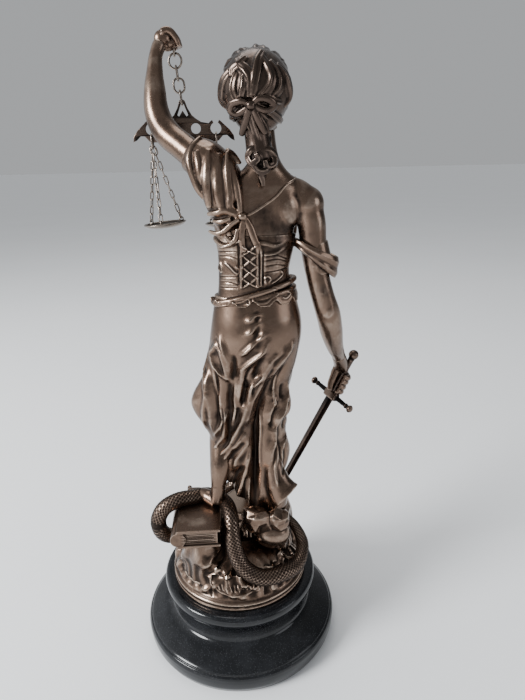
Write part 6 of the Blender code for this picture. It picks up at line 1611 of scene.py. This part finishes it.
# Soft surround, from the side away from the window round to the window.
WORLD_TONES = ((0.0, (0.16, 0.165, 0.17)), (0.26, (0.74, 0.76, 0.78)), (0.72, (0.76, 0.78, 0.80)), (0.92, (2.2, 2.25, 2.3)))


def add_world():
    world = bpy.data.worlds.new("studio")
    world.use_nodes = True
    tree = world.node_tree
    background = tree.nodes["Background"]
    background.inputs["Strength"].default_value = 0.55
    coords = linked(tree, "ShaderNodeTexCoord")
    sides = linked(tree, "ShaderNodeSeparateXYZ")
    tree.links.new(coords.outputs["Generated"], sides.inputs["Vector"])
    spread = linked(tree, "ShaderNodeMapRange")
    spread.inputs["From Min"].default_value = -1.0
    tree.links.new(sides.outputs["X"], spread.inputs["Value"])
    tones = ramp(tree, spread.outputs["Result"], WORLD_TONES)
    tree.links.new(tones.outputs["Color"], background.inputs["Color"])
    bpy.context.scene.world = world


CAMERA_PLACE = (0.0, 0.31892, 0.32454)
CAMERA_FORWARD = (-0.05927984, -0.94222608, -0.32969065)
CAMERA_RIGHT = (-0.99737431, 0.06966764, -0.01977151)
CAMERA_FOCAL = 27.05


def add_camera():
    data = bpy.data.cameras.new("camera")
    data.sensor_width = 36.0
    data.lens = CAMERA_FOCAL
    data.clip_start = 0.01
    data.clip_end = 200.0
    camera = bpy.data.objects.new("camera", data)
    forward = Vector(CAMERA_FORWARD).normalized()
    right = Vector(CAMERA_RIGHT).normalized()
    up = right.cross(forward)
    camera.matrix_world = Matrix.Translation(CAMERA_PLACE) @ Matrix((right, up, -forward)).transposed().to_4x4()
    bpy.context.scene.collection.objects.link(camera)
    bpy.context.scene.camera = camera


HAIR_FLUTES = 5
FLUTE_DEPTH = 0.15
HAIR_FILL = 1.11
RIPPLE_SHARE = 0.8
CALM_SHARE = 0.0
MOUND_FOOT = 55.0
MOUND_BROW = 96.0


def fine_hair(clay):
    """The locks over a fuller mass, so that the partings between them stay shallow."""
    hair(clay, HAIR_FLUTES, FLUTE_DEPTH)
    ball(clay, HAIR_CENTRE, tuple(HAIR_FILL * radius for radius in HAIR_RADII))
    ball(clay, (-19.5, 2.4, 364.6), (17.6, 17.2, 19.6))
    rod(clay, (-17, 12.2, 351, 6.6), (-18.4, 11.4, 342, 6.6), (-20, 11.8, 332, 7.4), (-20.4, 13.0, 326, 6.2))


def rippled(mesh):
    """Lays the mound's flame-like relief over its lobes too."""
    low, high = MOUND_FOOT, MOUND_BROW
    for vert, normal in zip(mesh.vertices, [Vector(corner.vector) for corner in mesh.vertex_normals]):
        share = ((vert.co.z - SEAT) / UNIT + DRAWN_SEAT - low) / (high - low)
        if 0.0 < share < 1.0 and abs(normal.z) < 0.8:
            angle = math.atan2(vert.co.y, vert.co.x)
            calm = CALM_SHARE if vert.co.y > 0 and abs(vert.co.x / UNIT - 2) < 17 and share < 0.34 else 1.0
            vert.co += normal * (calm * RIPPLE_SHARE * UNIT * mound_rise(angle, share))


def figure_pieces():
    """(name, forms, voxel, easing, thousands of triangles, strokes) of each piece that makes up the casting."""
    creases, marks = fine_strokes()
    return (
        ("flesh", (torso, right_arm, left_arm), 0.62, 56, 60, ()),
        ("sword_hand", (right_hand,), 0.36, 9, 30, ()),
        ("raised_hand", (left_hand,), 0.36, 9, 14, ()),
        ("sleeve", (left_sleeve,), 0.48, 11, 55, ()),
        ("head", (head,), 0.34, 26, 55, ()),
        ("hair", (fine_hair,), 0.36, 5, 100, ()),
        ("bow", (blindfold_bow,), 0.30, 8, 22, ()),
        ("dress_top", (bodice, tied_strap, corset, right_sleeve), 0.42, 8, 130,
         CORSET_STROKES + PEPLUM_STROKES + tuple(creases)),
        ("skirt", (skirt, skirt_flare), 0.52, 16, 130, SKIRT_STROKES),
        ("feet", (legs,), 0.42, 10, 25, ()),
        ("book", (book,), 0.36, 2, 30, BOOK_STROKES),
        ("snake_head", (snake_head,), 0.30, 4, 10, ()),
        ("mound", (mound,), 0.52, 3, 105, tuple(marks)),
        ("rock_cloth", (draped_rock,), 0.42, 5, 14, ()),
    )


DEEP_PATINA = ("hair", "bow")


def add_figure(bronze, deep):
    for name, forms, voxel, easing, thousands, strokes in figure_pieces():
        mesh = fused_piece(forms, voxel, easing)
        if name == "mound":
            rippled(mesh)
        carve(mesh, strokes)
        finish = deep if name in DEEP_PATINA else bronze
        add_piece("figure_" + name, thinned(mesh, 1000 * thousands), finish, "bronze", "figure")
    add_piece("figure_snake", scaled_snake(), bronze, "bronze", "figure")


def add_hardware(wire, dark):
    add_piece("sword_fine", fine_sword(), dark, "beam_metal", "sword", angle=math.radians(35))
    add_piece("beam_fine", fine_beam(), dark, "beam_metal", "beam", angle=math.radians(35))
    add_piece("hand_eye_fine", fine_eye(), wire, "chain_metal", "hand_eye")
    _, down = hang_line()
    for order, (centre, half_width, half_height, normal) in enumerate(hang_stations()[0]):
        ring = wire_ring(centre, half_width, half_height, HANG_WIRE, -down, normal, 14, 14)
        add_piece(f"hang_ring_{order + 1}_fine", ring, wire, "chain_metal", f"hang_ring_{order + 1}")
    for side, word in ((1, "left"), (-1, "right")):
        ring = wire_ring(gather_centre(side), GATHER_HALF_WIDTH, gather_half_height(), HANG_WIRE, UPWARD, ACROSS, 12, 14)
        add_piece(f"gather_{word}_fine", ring, wire, "chain_metal", f"gather_link_{word}")
        add_piece(f"pan_{word}_fine", fine_pan(side), wire, "chain_metal", f"pan_{word}")
        for order in range(3):
            add_piece(f"chain_{word}_{order + 1}_fine", fine_chain(side, order), wire, "chain_metal",
                      f"chain_{word}_{order + 1}")


def main():
    # Every metal finish here has painted highlights on sharp ridges and painted shade in the hollows, the hollows
    # partly patina.
    bronze = bronze_material("bronze_patina_painted_light", (0.50, 0.39, 0.31), (0.160, 0.108, 0.080), (0.045, 0.033, 0.027))
    deep = bronze_material("bronze_deep_patina_painted_light", (0.31, 0.235, 0.185), (0.078, 0.056, 0.045), (0.024, 0.019, 0.017))
    wire = bronze_material("wire_metal", (0.32, 0.27, 0.23), (0.15, 0.125, 0.105), (0.05, 0.042, 0.036))
    dark = bronze_material("dark_metal", (0.16, 0.115, 0.09), (0.055, 0.040, 0.034), (0.018, 0.015, 0.014))
    stone = stone_material()
    add_figure(bronze, deep)
    add_hardware(wire, dark)
    add_piece("plinth_fine", fine_plinth(), stone, "black_stone", "plinth")
    add_floor()
    add_light("key", (1.25, 0.55, 0.85), (0, 0, 0.2), 0.6, 40.0, (0.96, 0.98, 1.0))
    add_light("fill", (-1.3, 0.7, 0.6), (0, 0, 0.2), 0.8, 4.0, (0.92, 0.95, 1.0))
    add_light("top", (0.1, -0.5, 1.6), (0, 0, 0.2), 1.0, 8.0)
    add_world()
    add_camera()


main()
